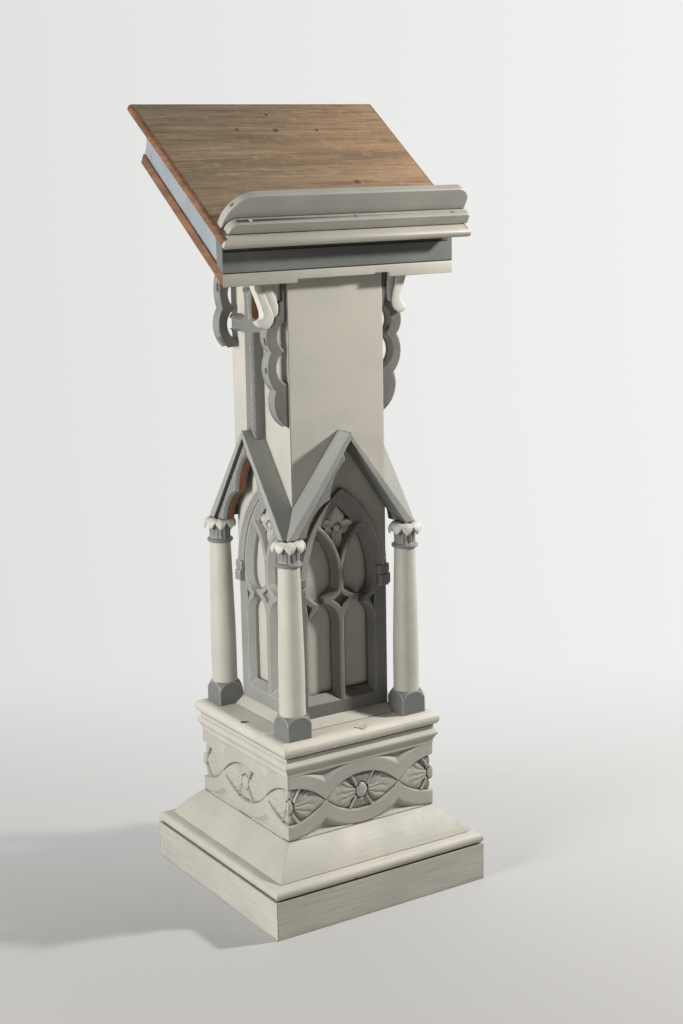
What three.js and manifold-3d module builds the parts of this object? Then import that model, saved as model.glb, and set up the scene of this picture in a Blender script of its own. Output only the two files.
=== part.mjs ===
// A painted Gothic-revival reading pulpit: a stepped plinth with a carved frieze, four small
// columns round a square shaft with a traceried window and a gable on each face, and a sloping
// desk on top. Millimetres, +Z up. The origin is the middle of the plinth's underside, the
// reader stands on the -Y side and +X is to the reader's right.

import * as THREE from 'three';
import * as BufferGeometryUtils from 'three/addons/utils/BufferGeometryUtils.js';
import Module from 'manifold-3d';

const wasm = await Module();
wasm.setup();

// ---------- driving dimensions ----------

const GAP = 0.3;                      // clearance between neighbouring pieces
const BIG = 2000;                     // longer than anything it cuts

const PLINTH_HALF = 203;              // half the side of the square plinth
const PLINTH_TOP = 63;
const PLINTH_BOARD = 20;
const TORUS_TOP = 82;                 // top of the rounded course on the plinth boards
const TORUS_LAP = 4;                  // how far it reaches in under the skirt
const SKIRT_FOOT_HALF = 184;          // where the sloping skirt leaves the rounded course
const SKIRT_TOP = 129;
const SKIRT_BOARD = 15;

const FRIEZE_HALF = 142.5;
const FRIEZE_TOP = 238;
const FRIEZE_BOARD = 20;
const CORNICE_TOP = 269.5;
const CORNICE_TIP_HALF = 148.5;
const SLAB_TOP = 293;
const SLAB_HALF = 151;
const SLAB_UNDER = 270;

const CORE_HALF = 88.5;               // half the side of the square shaft
const CORE_FOOT = 306;                // the shaft stands on a low weathered base
const CORE_BASE_HALF = 104.5;
const SHAFT_BOARD = 26;
const TRACERY_BOARD = 16.2;

const COLUMN_CENTRE = 111.3;
const COLUMN_BLOCK_HALF = 22.2;
const COLUMN_BLOCK_TOP = 332;
const COLUMN_FOOT_RADIUS = 21.5;
const COLUMN_NECK_RADIUS = 17.5;
const COLUMN_TOP = 575;
const CAPITAL_TOP = 618;
// [radius, height] points up the shaft's taper, and up the capital's bell, spreading lip and seat.
const COLUMN_TAPER = [[COLUMN_FOOT_RADIUS - 0.6, 420], [COLUMN_NECK_RADIUS + 0.8, 520]];
const CAPITAL_BELL = [[17.8, 597], [19.5, 603], [25, 609], [28.2, 611.5], [27, 614.5], [21, 616.5]];

const ARCH_SPRING = 530;              // height of the centres that strike the pointed arch
const ARCH_CENTRE = 103.5;            // each arc is struck from this far across the middle
const LIGHT_RADIUS = 167;             // outer edge of the window lights
const HOOD_INNER = 174.5;
const HOOD_OUTER = 185.5;
const HOOD_PROUD = 7.5;
const LABEL_TOP = 545;                // the stepped stops at the feet of the hood mould
const LABEL_STEP = 529;
const LABEL_FOOT = 511;
const LABEL_OUTER = CORE_HALF - GAP;
const LABEL_INNER = 70;
const SILL_TOP = 334;
const LIGHT_CENTRE = 35;
const LIGHT_HALF = 26.5;
const LIGHT_SHOULDER = 457;
const CUSP_LOW = 489;
const CUSP_HIGH = 500;
const CUSP_HALF_GAP = 6.5;
const BRANCH_CENTRE_HEIGHT = 540;     // centres of the two arcs that branch from the mullion
const BRANCH_INNER = 98;
const BRANCH_OUTER = 107.5;

const GABLE_APEX = 778.3;
const GABLE_PITCH = 1.335;            // fall of the roof for each unit across
const ROOF_RIDGE_THICK = 12;          // roof board measured straight down at the ridge
const ROOF_UNDER_PITCH = 1.42;        // its underside falls a little more steeply than its top
const ROOF_FOOT = 618.7;
const ROOF_FRONT = 126;
const BARGE_FRONT = 121;
const BARGE_BOARD = 21;
const BARGE_CROWN = 737;              // where the two cusped inner edges meet under the ridge
const BARGE_CUSP = [35, 672.5];
const BARGE_FOOT = 80.5;

const CROSS_BACK = CORE_HALF + GAP;
const CROSS_DEPTH = 22;
const CROSS_STAFF_HALF = 12;
const CROSS_CENTRE = 945;
const CROSS_ARM = 57;
const CROSS_ARM_TOP = 60;

const BRACKET_EDGE = 86.5;            // outer side face of each bracket, across the shaft
const BRACKET_INNER = 66.5;

const LEAF_FRONT = -93;
const LEAF_BACK = -65;

const DESK_SLOPE = THREE.MathUtils.degToRad(35.5);
const DESK_FRONT = -110.2;            // front bottom edge of the desk
const DESK_FRONT_HEIGHT = 1016.1;
const DESK_BOX_HALF = 211;
const DESK_BOX_LENGTH = 316;          // up the slope, along the bottom board
const DESK_BOTTOM_BOARD = 16;
const DESK_RAIL_TOP = 61;
const DESK_RAIL_BOARD = 18;
const DESK_COVE = 3.5;                 // how far the side rails curve in at their foot
const DESK_TOP_BOARD = 15;
const DESK_TOP_HALF = 225;
const DESK_TOP_FRONT = 9;
const DESK_TOP_BACK = 365;
const DESK_TOP_FLARE = 5.5;            // each side splays out this much by the back edge
// The book rest's two boards. `front` is up the slope, `top` stands off it.
const FRONT_REST = {
  front: 27, thickness: 16, top: 95, left: -213, right: 225, leftRadius: 16, rightRadius: 6,
};
const BACK_REST = {
  front: FRONT_REST.front + FRONT_REST.thickness + GAP,
  thickness: 14, top: 133, left: -217, right: 221.5, leftRadius: 50, rightRadius: 26,
};

// ---------- materials ----------

function paint(color, roughness) {
  return new THREE.MeshStandardMaterial({ color, roughness, metalness: 0 });
}

const OFF_WHITE = paint(0xcbc7bb, 0.6);
const GREY = paint(0x858a87, 0.55);
const BLUE_GREY = paint(0x8f959a, 0.55);
const BARE_WOOD = paint(0x87735a, 0.75);

// ---------- geometry helpers ----------

function toSolid(geometry) {
  const bare = geometry.index ? geometry.toNonIndexed() : geometry.clone();
  bare.deleteAttribute('normal');
  bare.deleteAttribute('uv');
  const merged = BufferGeometryUtils.mergeVertices(bare, 1e-4);
  return new wasm.Manifold(new wasm.Mesh({
    numProp: 3,
    vertProperties: new Float32Array(merged.attributes.position.array),
    triVerts: new Uint32Array(merged.index.array),
  }));
}

function toGeometry(solid) {
  const mesh = solid.getMesh();
  const geometry = new THREE.BufferGeometry();
  geometry.setAttribute('position', new THREE.BufferAttribute(mesh.vertProperties, 3));
  geometry.setIndex(new THREE.BufferAttribute(mesh.triVerts, 1));
  geometry.computeVertexNormals();
  return geometry;
}

function shapeOf(points, holes = []) {
  const shape = new THREE.Shape(points.map(([a, b]) => new THREE.Vector2(a, b)));
  for (const hole of holes) {
    shape.holes.push(new THREE.Path(hole.map(([a, b]) => new THREE.Vector2(a, b))));
  }
  return shape;
}

// An outline in plan, raised from z0 to z1.
function raised(points, z0, z1) {
  const geometry = new THREE.ExtrudeGeometry(shapeOf(points), { depth: z1 - z0, bevelEnabled: false });
  geometry.translate(0, 0, z0);
  return geometry;
}

// An outline in the front elevation (across, up), thickened from the distance `back` to `front`
// in front of the middle of the pulpit, which is towards -Y.
function facing(points, back, front, holes = []) {
  const outline = shapeOf(points, holes);
  const geometry = new THREE.ExtrudeGeometry(outline, { depth: front - back, bevelEnabled: false });
  geometry.rotateX(Math.PI / 2);
  geometry.translate(0, -back, 0);
  return geometry;
}

// An outline in the side elevation (y, z), thickened from x0 to x1.
function alongX(points, x0, x1) {
  const geometry = new THREE.ExtrudeGeometry(shapeOf(points), { depth: x1 - x0, bevelEnabled: false });
  geometry.rotateX(Math.PI / 2);
  geometry.rotateZ(Math.PI / 2);
  geometry.translate(x0, 0, 0);
  return geometry;
}

// A square ring or block with mitred corners: the section is (half side, height) points.
function squareTurned(section) {
  const profile = section.map(([half, z]) => new THREE.Vector2(half * Math.SQRT2, z));
  const geometry = new THREE.LatheGeometry(profile, 4);
  geometry.rotateX(Math.PI / 2);
  geometry.rotateZ(Math.PI / 4);
  return geometry;
}

// A round turning with its axis along +Z.
function turned(section, segments) {
  const geometry = new THREE.LatheGeometry(section.map(([r, z]) => new THREE.Vector2(r, z)), segments);
  geometry.rotateX(Math.PI / 2);
  return geometry;
}

// Points on an arc about (cx, cy) from angle a0 to a1, in degrees.
function arc(cx, cy, radius, a0, a1, steps) {
  const points = [];
  for (let i = 0; i <= steps; i++) {
    const a = THREE.MathUtils.degToRad(a0 + (a1 - a0) * i / steps);
    points.push([cx + radius * Math.cos(a), cy + radius * Math.sin(a)]);
  }
  return points;
}

// Points on the arc from p to q that bows to the left of the line p-q by `bow`; p is left out.
function bowed(p, q, bow, steps) {
  const [dx, dy] = [q[0] - p[0], q[1] - p[1]];
  const chord = Math.hypot(dx, dy);
  const radius = (chord * chord / 4 + bow * bow) / (2 * bow);
  const middle = [(p[0] + q[0]) / 2, (p[1] + q[1]) / 2];
  const centre = [
    middle[0] + dy / chord * (radius - bow),
    middle[1] - dx / chord * (radius - bow),
  ];
  const start = Math.atan2(p[1] - centre[1], p[0] - centre[0]);
  let sweep = Math.atan2(q[1] - centre[1], q[0] - centre[0]) - start;
  if (bow > 0 && sweep > 0) sweep -= 2 * Math.PI;
  if (bow < 0 && sweep < 0) sweep += 2 * Math.PI;
  const points = [];
  for (let i = 1; i <= steps; i++) {
    const a = start + sweep * i / steps;
    const r = Math.abs(radius);
    points.push([centre[0] + r * Math.cos(a), centre[1] + r * Math.sin(a)]);
  }
  return points;
}

function mirrored(points) {
  return points.map(([a, b]) => [-a, b]).reverse();
}

// ---------- scene graph helpers ----------

const pulpit = new THREE.Group();
const SIDES = ['front', 'right', 'back', 'left'];
const HANDS = [['left', -1], ['right', 1]];
const sideGroups = SIDES.map((side, index) => {
  const group = new THREE.Group();
  group.rotation.z = index * Math.PI / 2;
  pulpit.add(group);
  return group;
});

function place(group, name, geometry, material) {
  const mesh = new THREE.Mesh(geometry, material);
  mesh.name = name;
  group.add(mesh);
  return mesh;
}

// Everything nearer to one face of the shaft than to its neighbours, so that boards cut with it
// meet at mitred corners.
const mitreWedge = toSolid(raised([[0, -GAP], [-BIG, -BIG - GAP], [BIG, -BIG - GAP]], -BIG, BIG));

// Everything below the sloping underside of the desk.
function deskUnderside(y) {
  return DESK_FRONT_HEIGHT + Math.tan(DESK_SLOPE) * (y - DESK_FRONT) - GAP;
}
const belowDesk = toSolid(alongX([
  [-BIG, -BIG], [BIG, -BIG], [BIG, deskUnderside(BIG)], [-BIG, deskUnderside(-BIG)],
], -BIG, BIG));

// ---------- plinth, skirt and frieze ----------

function mitredBoard(outer, board) {
  const inner = outer - board;
  const plan = [[-outer, -outer], [outer, -outer], [inner, -inner], [-inner, -inner]];
  return plan.map(([x, y]) => [x - Math.sign(x) * GAP / 2, y]);
}

function plinthBoard() {
  return raised(mitredBoard(PLINTH_HALF, PLINTH_BOARD), 0, PLINTH_TOP);
}

function torusMoulding() {
  const low = PLINTH_TOP + GAP;
  const radius = (TORUS_TOP - low) / 2;
  const inner = SKIRT_FOOT_HALF - SKIRT_BOARD - TORUS_LAP;
  const nose = arc(PLINTH_HALF - radius, low + radius, radius, -90, 90, 8);
  return squareTurned([[inner, low], ...nose, [inner, TORUS_TOP], [inner, low]]);
}

function skirt() {
  const foot = [SKIRT_FOOT_HALF, TORUS_TOP + GAP];
  const top = [FRIEZE_HALF + 1, SKIRT_TOP];
  const sag = 2.5;
  return squareTurned([
    foot,
    ...bowed(foot, top, -sag, 6),
    [top[0] - SKIRT_BOARD, top[1]],
    [foot[0] - SKIRT_BOARD, foot[1]],
    foot,
  ]);
}

function friezePanel() {
  return raised(mitredBoard(FRIEZE_HALF, FRIEZE_BOARD), SKIRT_TOP + GAP, FRIEZE_TOP);
}

function cornice() {
  const inner = FRIEZE_HALF - FRIEZE_BOARD;
  const low = [FRIEZE_HALF, FRIEZE_TOP + GAP];
  const lip = [CORNICE_TIP_HALF - 1.5, 252.5];
  const neck = FRIEZE_HALF + 1;
  return squareTurned([
    [inner, low[1]], low,
    ...bowed(low, lip, 1.5, 4),
    [CORNICE_TIP_HALF, 254], [CORNICE_TIP_HALF, 257], [neck + 2, 262], [neck, 263],
    [neck, CORNICE_TOP], [inner, CORNICE_TOP], [inner, low[1]],
  ]);
}

function slab() {
  const radius = (SLAB_TOP - SLAB_UNDER) / 2;
  const nose = arc(SLAB_HALF - radius, SLAB_UNDER + radius, radius, -90, 90, 8);
  return squareTurned([[0, SLAB_UNDER], ...nose, [0, SLAB_TOP]]);
}

function coreBase() {
  const low = SLAB_TOP + GAP;
  const slope = [[0, low], [CORE_BASE_HALF, low], [CORE_HALF, CORE_FOOT], [0, CORE_FOOT]];
  const block = toSolid(squareTurned(slope));
  const inner = COLUMN_CENTRE - COLUMN_BLOCK_HALF - GAP;
  let notched = block;
  for (const [sx, sy] of [[1, 1], [1, -1], [-1, 1], [-1, -1]]) {
    const square = [[inner, inner], [BIG, inner], [BIG, BIG], [inner, BIG]];
    const corner = square.map(([x, y]) => [x * sx, y * sy]);
    notched = notched.subtract(toSolid(raised(corner, 0, BIG)));
  }
  return toGeometry(notched);
}

SIDES.forEach((side, index) => {
  place(sideGroups[index], `plinth_board_${side}`, plinthBoard(), OFF_WHITE);
  place(sideGroups[index], `frieze_panel_${side}`, friezePanel(), OFF_WHITE);
});
place(pulpit, 'plinth_moulding', torusMoulding(), OFF_WHITE);
place(pulpit, 'plinth_skirt', skirt(), OFF_WHITE);
place(pulpit, 'frieze_cornice', cornice(), OFF_WHITE);
place(pulpit, 'column_slab', slab(), OFF_WHITE);
place(pulpit, 'shaft_base', coreBase(), OFF_WHITE);

// ---------- columns ----------

function column() {
  const half = COLUMN_BLOCK_HALF;
  const low = SLAB_TOP + GAP;
  const square = [[-half, -half], [half, -half], [half, half], [-half, half]];
  const shoulder = turned([
    [0, low - 1], [half * 1.5, low - 1], [half * 1.5, COLUMN_BLOCK_TOP - 13],
    [half * 1.18, COLUMN_BLOCK_TOP - 4], [COLUMN_FOOT_RADIUS, COLUMN_BLOCK_TOP], [0, COLUMN_BLOCK_TOP],
  ], 24);
  const block = toSolid(raised(square, low, COLUMN_BLOCK_TOP)).intersect(toSolid(shoulder));
  const shaft = turned([
    [0, COLUMN_BLOCK_TOP - 2], [COLUMN_FOOT_RADIUS, COLUMN_BLOCK_TOP - 2],
    ...COLUMN_TAPER, [COLUMN_NECK_RADIUS, COLUMN_TOP], [0, COLUMN_TOP],
  ], 24);
  return toGeometry(block.add(toSolid(shaft)));
}

function capital() {
  const low = COLUMN_TOP + GAP;
  return turned([
    [0, low], [19.5, low], [21, low + 3], [19.5, low + 6], [17.2, low + 7.5],
    ...CAPITAL_BELL, [20, CAPITAL_TOP], [0, CAPITAL_TOP],
  ], 24);
}

for (const [depth, sy] of [['front', -1], ['back', 1]]) {
  for (const [hand, sx] of HANDS) {
    const corner = new THREE.Group();
    corner.position.set(sx * COLUMN_CENTRE, sy * COLUMN_CENTRE, 0);
    pulpit.add(corner);
    place(corner, `column_${depth}_${hand}`, column(), OFF_WHITE);
    place(corner, `capital_${depth}_${hand}`, capital(), GREY);
  }
}

// ---------- shaft and windows ----------

// The right half of a pointed arch of the given radius, from the springing to the apex.
function archHalf(radius, steps) {
  const apex = THREE.MathUtils.radToDeg(Math.acos(ARCH_CENTRE / radius));
  return arc(-ARCH_CENTRE, ARCH_SPRING, radius, 0, apex, steps);
}

function archOutline(radius, foot, steps) {
  const right = archHalf(radius, steps);
  const half = right[0][0];
  return [[-half, foot], [half, foot], ...right, ...mirrored(right.slice(0, -1))];
}

// The tracery board fills the whole face up to the hood's feet and the arch above them.
function traceryOutline(clearance) {
  const radius = HOOD_OUTER + clearance;
  const right = archHalf(radius, 10).filter(([, z]) => z > LABEL_TOP);
  const top = LABEL_TOP + clearance;
  const across = Math.sqrt(radius ** 2 - (top - ARCH_SPRING) ** 2) - ARCH_CENTRE;
  const half = CORE_HALF + 10 * clearance;
  const side = [[half, CORE_FOOT + GAP - clearance], [half, top], [across, top], ...right];
  return [...side, ...mirrored(side.slice(0, -1))];
}

// The point where an outer arc of the window meets the far side of a branch arc.
function branchMeeting(branchRadius) {
  let low = BRANCH_CENTRE_HEIGHT;
  let high = BRANCH_CENTRE_HEIGHT + branchRadius;
  const outerAt = (z) => Math.sqrt(LIGHT_RADIUS ** 2 - (z - ARCH_SPRING) ** 2) - ARCH_CENTRE;
  const branchAt = (z) => ARCH_CENTRE - Math.sqrt(branchRadius ** 2 - (z - BRANCH_CENTRE_HEIGHT) ** 2);
  for (let i = 0; i < 40; i++) {
    const z = (low + high) / 2;
    if (branchAt(z) < outerAt(z)) low = z;
    else high = z;
  }
  return [outerAt(low), low];
}

// One window light: a tall panel whose head is pinched by two cusps under a pointed oval.
function lightOutline() {
  const inner = LIGHT_CENTRE - LIGHT_HALF;
  const outer = LIGHT_CENTRE + LIGHT_HALF;
  const tip = branchMeeting(BRANCH_INNER);
  const waistOuter = LIGHT_CENTRE + 3 + CUSP_HALF_GAP;
  const waistInner = LIGHT_CENTRE + 3 - CUSP_HALF_GAP;
  const ovalFoot = 524;
  const outerArc = arc(-ARCH_CENTRE, ARCH_SPRING, LIGHT_RADIUS, 0,
    THREE.MathUtils.radToDeg(Math.asin((tip[1] - ARCH_SPRING) / LIGHT_RADIUS)), 6);
  const branchArc = arc(ARCH_CENTRE, BRANCH_CENTRE_HEIGHT, BRANCH_INNER, 180,
    180 - THREE.MathUtils.radToDeg(Math.asin((tip[1] - BRANCH_CENTRE_HEIGHT) / BRANCH_INNER)), 6);
  return [
    [inner, SILL_TOP], [outer, SILL_TOP], [outer, LIGHT_SHOULDER],
    ...bowed([outer, LIGHT_SHOULDER], [waistOuter, CUSP_LOW], -7, 4),
    [waistOuter, CUSP_HIGH],
    ...bowed([waistOuter, CUSP_HIGH], [outerArc[0][0], ovalFoot], -4, 4),
    ...outerArc.slice(0, -1), tip,
    ...branchArc.slice(0, -1).reverse(),
    [branchArc[0][0], ovalFoot],
    ...bowed([branchArc[0][0], ovalFoot], [waistInner, CUSP_HIGH], -4, 4),
    [waistInner, CUSP_LOW],
    ...bowed([waistInner, CUSP_LOW], [inner, LIGHT_SHOULDER], -7, 4),
  ];
}

// The kite-shaped opening between the two branches, under the apex.
function kiteOutline() {
  const corner = branchMeeting(BRANCH_OUTER);
  const apexAngle = THREE.MathUtils.radToDeg(Math.acos(ARCH_CENTRE / LIGHT_RADIUS));
  const cornerAngle = THREE.MathUtils.radToDeg(Math.asin((corner[1] - ARCH_SPRING) / LIGHT_RADIUS));
  const upper = arc(-ARCH_CENTRE, ARCH_SPRING, LIGHT_RADIUS, cornerAngle, apexAngle, 4);
  const footRise = Math.sqrt(BRANCH_OUTER ** 2 - ARCH_CENTRE ** 2);
  const lower = [];
  for (let i = 0; i < 5; i++) {
    const z = BRANCH_CENTRE_HEIGHT + footRise + (corner[1] - BRANCH_CENTRE_HEIGHT - footRise) * i / 5;
    lower.push([ARCH_CENTRE - Math.sqrt(BRANCH_OUTER ** 2 - (z - BRANCH_CENTRE_HEIGHT) ** 2), z]);
  }
  const right = [...lower, ...upper];
  right[0][0] = 0;
  right[right.length - 1][0] = 0;
  return [...right, ...mirrored(right.slice(1, -1))];
}

function shaftBoard() {
  const back = CORE_HALF - SHAFT_BOARD;
  const low = CORE_FOOT + GAP;
  const full = [[-CORE_HALF, low], [CORE_HALF, low], [CORE_HALF, BIG], [-CORE_HALF, BIG]];
  const blank = toSolid(facing(full, back, CORE_HALF)).intersect(mitreWedge);
  const rebate = toSolid(facing(traceryOutline(GAP), CORE_HALF - TRACERY_BOARD - GAP, BIG));
  return blank.subtract(rebate);
}

// Shaft boards reach the sloping underside of the desk, so each is cut in its place.
function placeShaftBoard(index) {
  const angle = index * Math.PI / 2;
  const board = toGeometry(shaftBoard());
  board.rotateZ(angle);
  const cut = toGeometry(toSolid(board).intersect(belowDesk));
  cut.rotateZ(-angle);
  place(sideGroups[index], `shaft_board_${SIDES[index]}`, cut, OFF_WHITE);
}

function tracery() {
  const front = CORE_HALF;
  const back = CORE_HALF - TRACERY_BOARD;
  const light = lightOutline();
  const holes = [light, mirrored(light), kiteOutline()];
  let solid = toSolid(facing(traceryOutline(0), back, front, holes)).intersect(mitreWedge);
  const outside = toSolid(facing(archOutline(HOOD_OUTER, LABEL_FOOT, 10), back + 1, front + HOOD_PROUD));
  const inside = toSolid(facing(archOutline(HOOD_INNER, LABEL_FOOT - 5, 10), back, front + HOOD_PROUD + 1));
  solid = solid.add(outside.subtract(inside).intersect(mitreWedge));
  for (const [, sign] of HANDS) {
    for (const [low, high, proud] of [[LABEL_STEP, LABEL_TOP, 8], [LABEL_FOOT, LABEL_STEP, 10]]) {
      const stop = [[LABEL_INNER, low], [LABEL_OUTER, low], [LABEL_OUTER, high], [LABEL_INNER, high]];
      const outline = sign > 0 ? stop : mirrored(stop);
      solid = solid.add(toSolid(facing(outline, front - 4, front + proud)).intersect(mitreWedge));
    }
  }
  return toGeometry(solid);
}

function mountingBlock() {
  const half = CORE_HALF - SHAFT_BOARD - GAP;
  const square = [[-half, -half], [half, -half], [half, half], [-half, half]];
  const top = toSolid(raised(square, DESK_FRONT_HEIGHT - 40, BIG)).intersect(belowDesk);
  return toGeometry(top);
}

SIDES.forEach((side, index) => {
  placeShaftBoard(index);
  place(sideGroups[index], `window_tracery_${side}`, tracery(), GREY);
});
place(pulpit, 'desk_mounting_block', mountingBlock(), BARE_WOOD);

// ---------- gables ----------

function roofTop(across) {
  return GABLE_APEX - GABLE_PITCH * across;
}

function roofUnder(across) {
  return GABLE_APEX - ROOF_RIDGE_THICK - ROOF_UNDER_PITCH * across;
}

function roofBoard(sign) {
  const ridge = GAP / 2;
  const footTop = (GABLE_APEX - ROOF_FOOT) / GABLE_PITCH;
  const footUnder = (roofUnder(0) - ROOF_FOOT) / ROOF_UNDER_PITCH;
  const section = [
    [ridge, roofUnder(ridge)], [footUnder, ROOF_FOOT], [footTop, ROOF_FOOT], [ridge, roofTop(ridge)],
  ];
  const outline = sign > 0 ? section : mirrored(section);
  const board = toSolid(facing(outline, CORE_HALF + GAP, ROOF_FRONT)).intersect(mitreWedge);
  return toGeometry(board);
}

function bargeboard(sign) {
  const middle = GAP / 2;
  const crown = [middle, BARGE_CROWN];
  const outerFoot = (roofUnder(0) - GAP - ROOF_FOOT) / ROOF_UNDER_PITCH;
  const outline = [
    crown,
    ...bowed(crown, BARGE_CUSP, 9, 6),
    ...bowed(BARGE_CUSP, [BARGE_FOOT, ROOF_FOOT], 10, 6),
    [outerFoot, ROOF_FOOT],
    [middle, roofUnder(middle) - GAP],
  ];
  const board = facing(sign > 0 ? outline : mirrored(outline), BARGE_FRONT - BARGE_BOARD, BARGE_FRONT);
  return toGeometry(toSolid(board).intersect(mitreWedge));
}

SIDES.forEach((side, index) => {
  for (const [hand, sign] of HANDS) {
    place(sideGroups[index], `gable_roof_${side}_${hand}`, roofBoard(sign), GREY);
    const lost = side === 'front' && hand === 'right';
    if (!lost) place(sideGroups[index], `bargeboard_${side}_${hand}`, bargeboard(sign), GREY);
  }
});

// ---------- cross on the left face ----------

function cross() {
  const waist = 9;
  const flare = 14.5;
  const tip = CROSS_ARM;
  const notch = 7;
  const z = CROSS_CENTRE;
  const staff = CROSS_STAFF_HALF;
  const top = z + CROSS_ARM_TOP;
  const right = [
    [0, GABLE_APEX + 2 * GAP], [staff, roofTop(staff) + 2 * GAP], [staff, z - 14],
    ...bowed([staff, z - 14], [tip, z - flare], 4, 4),
    [tip - notch, z], [tip, z + flare],
    ...bowed([tip, z + flare], [waist + 2, z + 13], 4, 4),
    ...bowed([waist + 2, z + 13], [flare, top], 3, 4),
    [0, top - notch],
  ];
  return facing([...right, ...mirrored(right.slice(1, -1))], CROSS_BACK, CROSS_BACK + CROSS_DEPTH);
}

place(sideGroups[3], 'cross', cross(), GREY);

// ---------- brackets under the desk, with a curled leaf on each front one ----------

// Outlines are (distance from the shaft, height above the bracket's upper notch).
const LEAF_CROWN = 150;               // both crowns run on above the desk's underside, which trims them
const BRACKET_CROWN = 260;
const NOTCH_FRONT_LEFT = 911;
const NOTCH_FRONT_RIGHT = 923;
const NOTCH_BACK = 967;
const LEAF_INNER_SIDE = [
  [40, 36.5], [34, 34.5], [28, 37], [21, 45], [18, 53.5], [13.5, 56.5], [11.5, 64], [12, 74],
  [7, 76], [5.5, 82], [7, 89], [7, LEAF_CROWN],
];

function leafOutline() {
  const outer = [[60, LEAF_CROWN], [50, 98], ...bowed([50, 98], [32, 56], 3, 5)];
  return [...outer, ...bowed([32, 56], [43, 42], 3.5, 4), ...LEAF_INNER_SIDE];
}

function bracketOutline(hasLeaf, lowestLobe) {
  const wall = GAP;
  const outer = [];
  if (hasLeaf) {
    const seat = LEAF_INNER_SIDE.slice(1).reverse().map(([out, up]) => [out - 2 * GAP, up - 2 * GAP]);
    outer.push([seat[0][0], BRACKET_CROWN], ...seat, ...bowed(seat[seat.length - 1], [26, 0], 5, 6));
  } else {
    outer.push([27, BRACKET_CROWN], [27, 128], ...bowed([27, 128], [25, 62], 8, 6));
    outer.push(...bowed([25, 62], [26, 0], 5, 6));
  }
  outer.push(...bowed([26, 0], [19.5, -61], 11, 8));
  if (lowestLobe) outer.push(...bowed([19.5, -61], [wall, -120], 12, 6));
  else outer.push([wall, -59]);
  const upperFoil = [...bowed([9, 0], [wall, 50], -15, 6)];
  const lowerFoil = [[wall, -56], ...bowed([wall, -56], [9, 0], -18, 6)];
  if (!lowestLobe) lowerFoil.shift();
  return [...outer, ...lowerFoil, ...upperFoil, [wall, BRACKET_CROWN]];
}

// A board standing out from the left or right face of the shaft, from `near` to `far` across it.
function sideBoard(outline, sx, notchHeight, near, far) {
  const elevation = outline.map(([out, up]) => [sx * (CORE_HALF + out), notchHeight + up]);
  const points = sx < 0 ? elevation : elevation.reverse();
  const board = facing(points, Math.min(-near, -far), Math.max(-near, -far));
  return toGeometry(toSolid(board).intersect(belowDesk));
}

for (const [hand, sx] of HANDS) {
  const frontNotch = hand === 'left' ? NOTCH_FRONT_LEFT : NOTCH_FRONT_RIGHT;
  const bracket = sideBoard(bracketOutline(true, true), sx, frontNotch, -BRACKET_EDGE, -BRACKET_INNER);
  place(pulpit, `bracket_front_${hand}`, bracket, GREY);
  place(pulpit, `leaf_${hand}`, sideBoard(leafOutline(), sx, frontNotch, LEAF_FRONT, LEAF_BACK), OFF_WHITE);
  const lowestLobe = hand === 'right';
  const rear = sideBoard(bracketOutline(false, lowestLobe), sx, NOTCH_BACK, BRACKET_INNER, BRACKET_EDGE);
  place(pulpit, `bracket_back_${hand}`, rear, GREY);
}

// ---------- desk ----------

const desk = new THREE.Group();
desk.position.set(0, DESK_FRONT, DESK_FRONT_HEIGHT);
desk.rotation.x = DESK_SLOPE;
pulpit.add(desk);

// In the desk's own frame y runs up the slope and z stands off it. The box's front and back are plumb.
function plumb(height, inset = 0) {
  return height * Math.tan(DESK_SLOPE) + inset / Math.cos(DESK_SLOPE);
}

function bottomBoard() {
  const top = DESK_BOTTOM_BOARD;
  return alongX([[0, 0], [DESK_BOX_LENGTH, 0], [DESK_BOX_LENGTH, top], [plumb(top), top]],
    -DESK_BOX_HALF, DESK_BOX_HALF);
}

// The outline of the box between the two boards, coved in towards its foot at both sides.
function boxSection() {
  const low = DESK_BOTTOM_BOARD + GAP;
  const high = DESK_RAIL_TOP - GAP;
  const foot = [DESK_BOX_HALF - DESK_COVE, low];
  const top = [DESK_BOX_HALF, high];
  const right = [foot, ...bowed(foot, top, 5, 6)];
  return [...right, ...mirrored(right)];
}

function deskRails() {
  const low = DESK_BOTTOM_BOARD + GAP;
  const high = DESK_RAIL_TOP - GAP;
  const box = toSolid(facing(boxSection(), -BIG, BIG));
  const front = toSolid(alongX([
    [plumb(low), low], [plumb(low, DESK_RAIL_BOARD), low],
    [plumb(high, DESK_RAIL_BOARD), high], [plumb(high), high],
  ], -DESK_BOX_HALF, DESK_BOX_HALF));
  const backFace = DESK_BOX_LENGTH - plumb(DESK_BOTTOM_BOARD);
  const back = toSolid(alongX([
    [backFace + plumb(low, -DESK_RAIL_BOARD), low], [backFace + plumb(low), low],
    [backFace + plumb(high), high], [backFace + plumb(high, -DESK_RAIL_BOARD), high],
  ], -BIG, BIG));
  const behind = -DESK_RAIL_BOARD - GAP;
  const between = toSolid(alongX([
    [plumb(low, DESK_RAIL_BOARD + GAP), low], [backFace + plumb(low, behind), low],
    [backFace + plumb(high, behind), high], [plumb(high, DESK_RAIL_BOARD + GAP), high],
  ], -BIG, BIG));
  const innerHalf = DESK_BOX_HALF - DESK_COVE - DESK_RAIL_BOARD;
  const rails = { desk_rail_front: front, desk_rail_back: box.intersect(back) };
  for (const [hand, sign] of HANDS) {
    const xs = [sign * innerHalf, sign * BIG].sort((a, b) => a - b);
    const side = toSolid(alongX([[-BIG, low], [BIG, low], [BIG, high], [-BIG, high]], xs[0], xs[1]));
    rails[`desk_rail_${hand}`] = box.intersect(between).intersect(side);
  }
  return rails;
}

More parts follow.
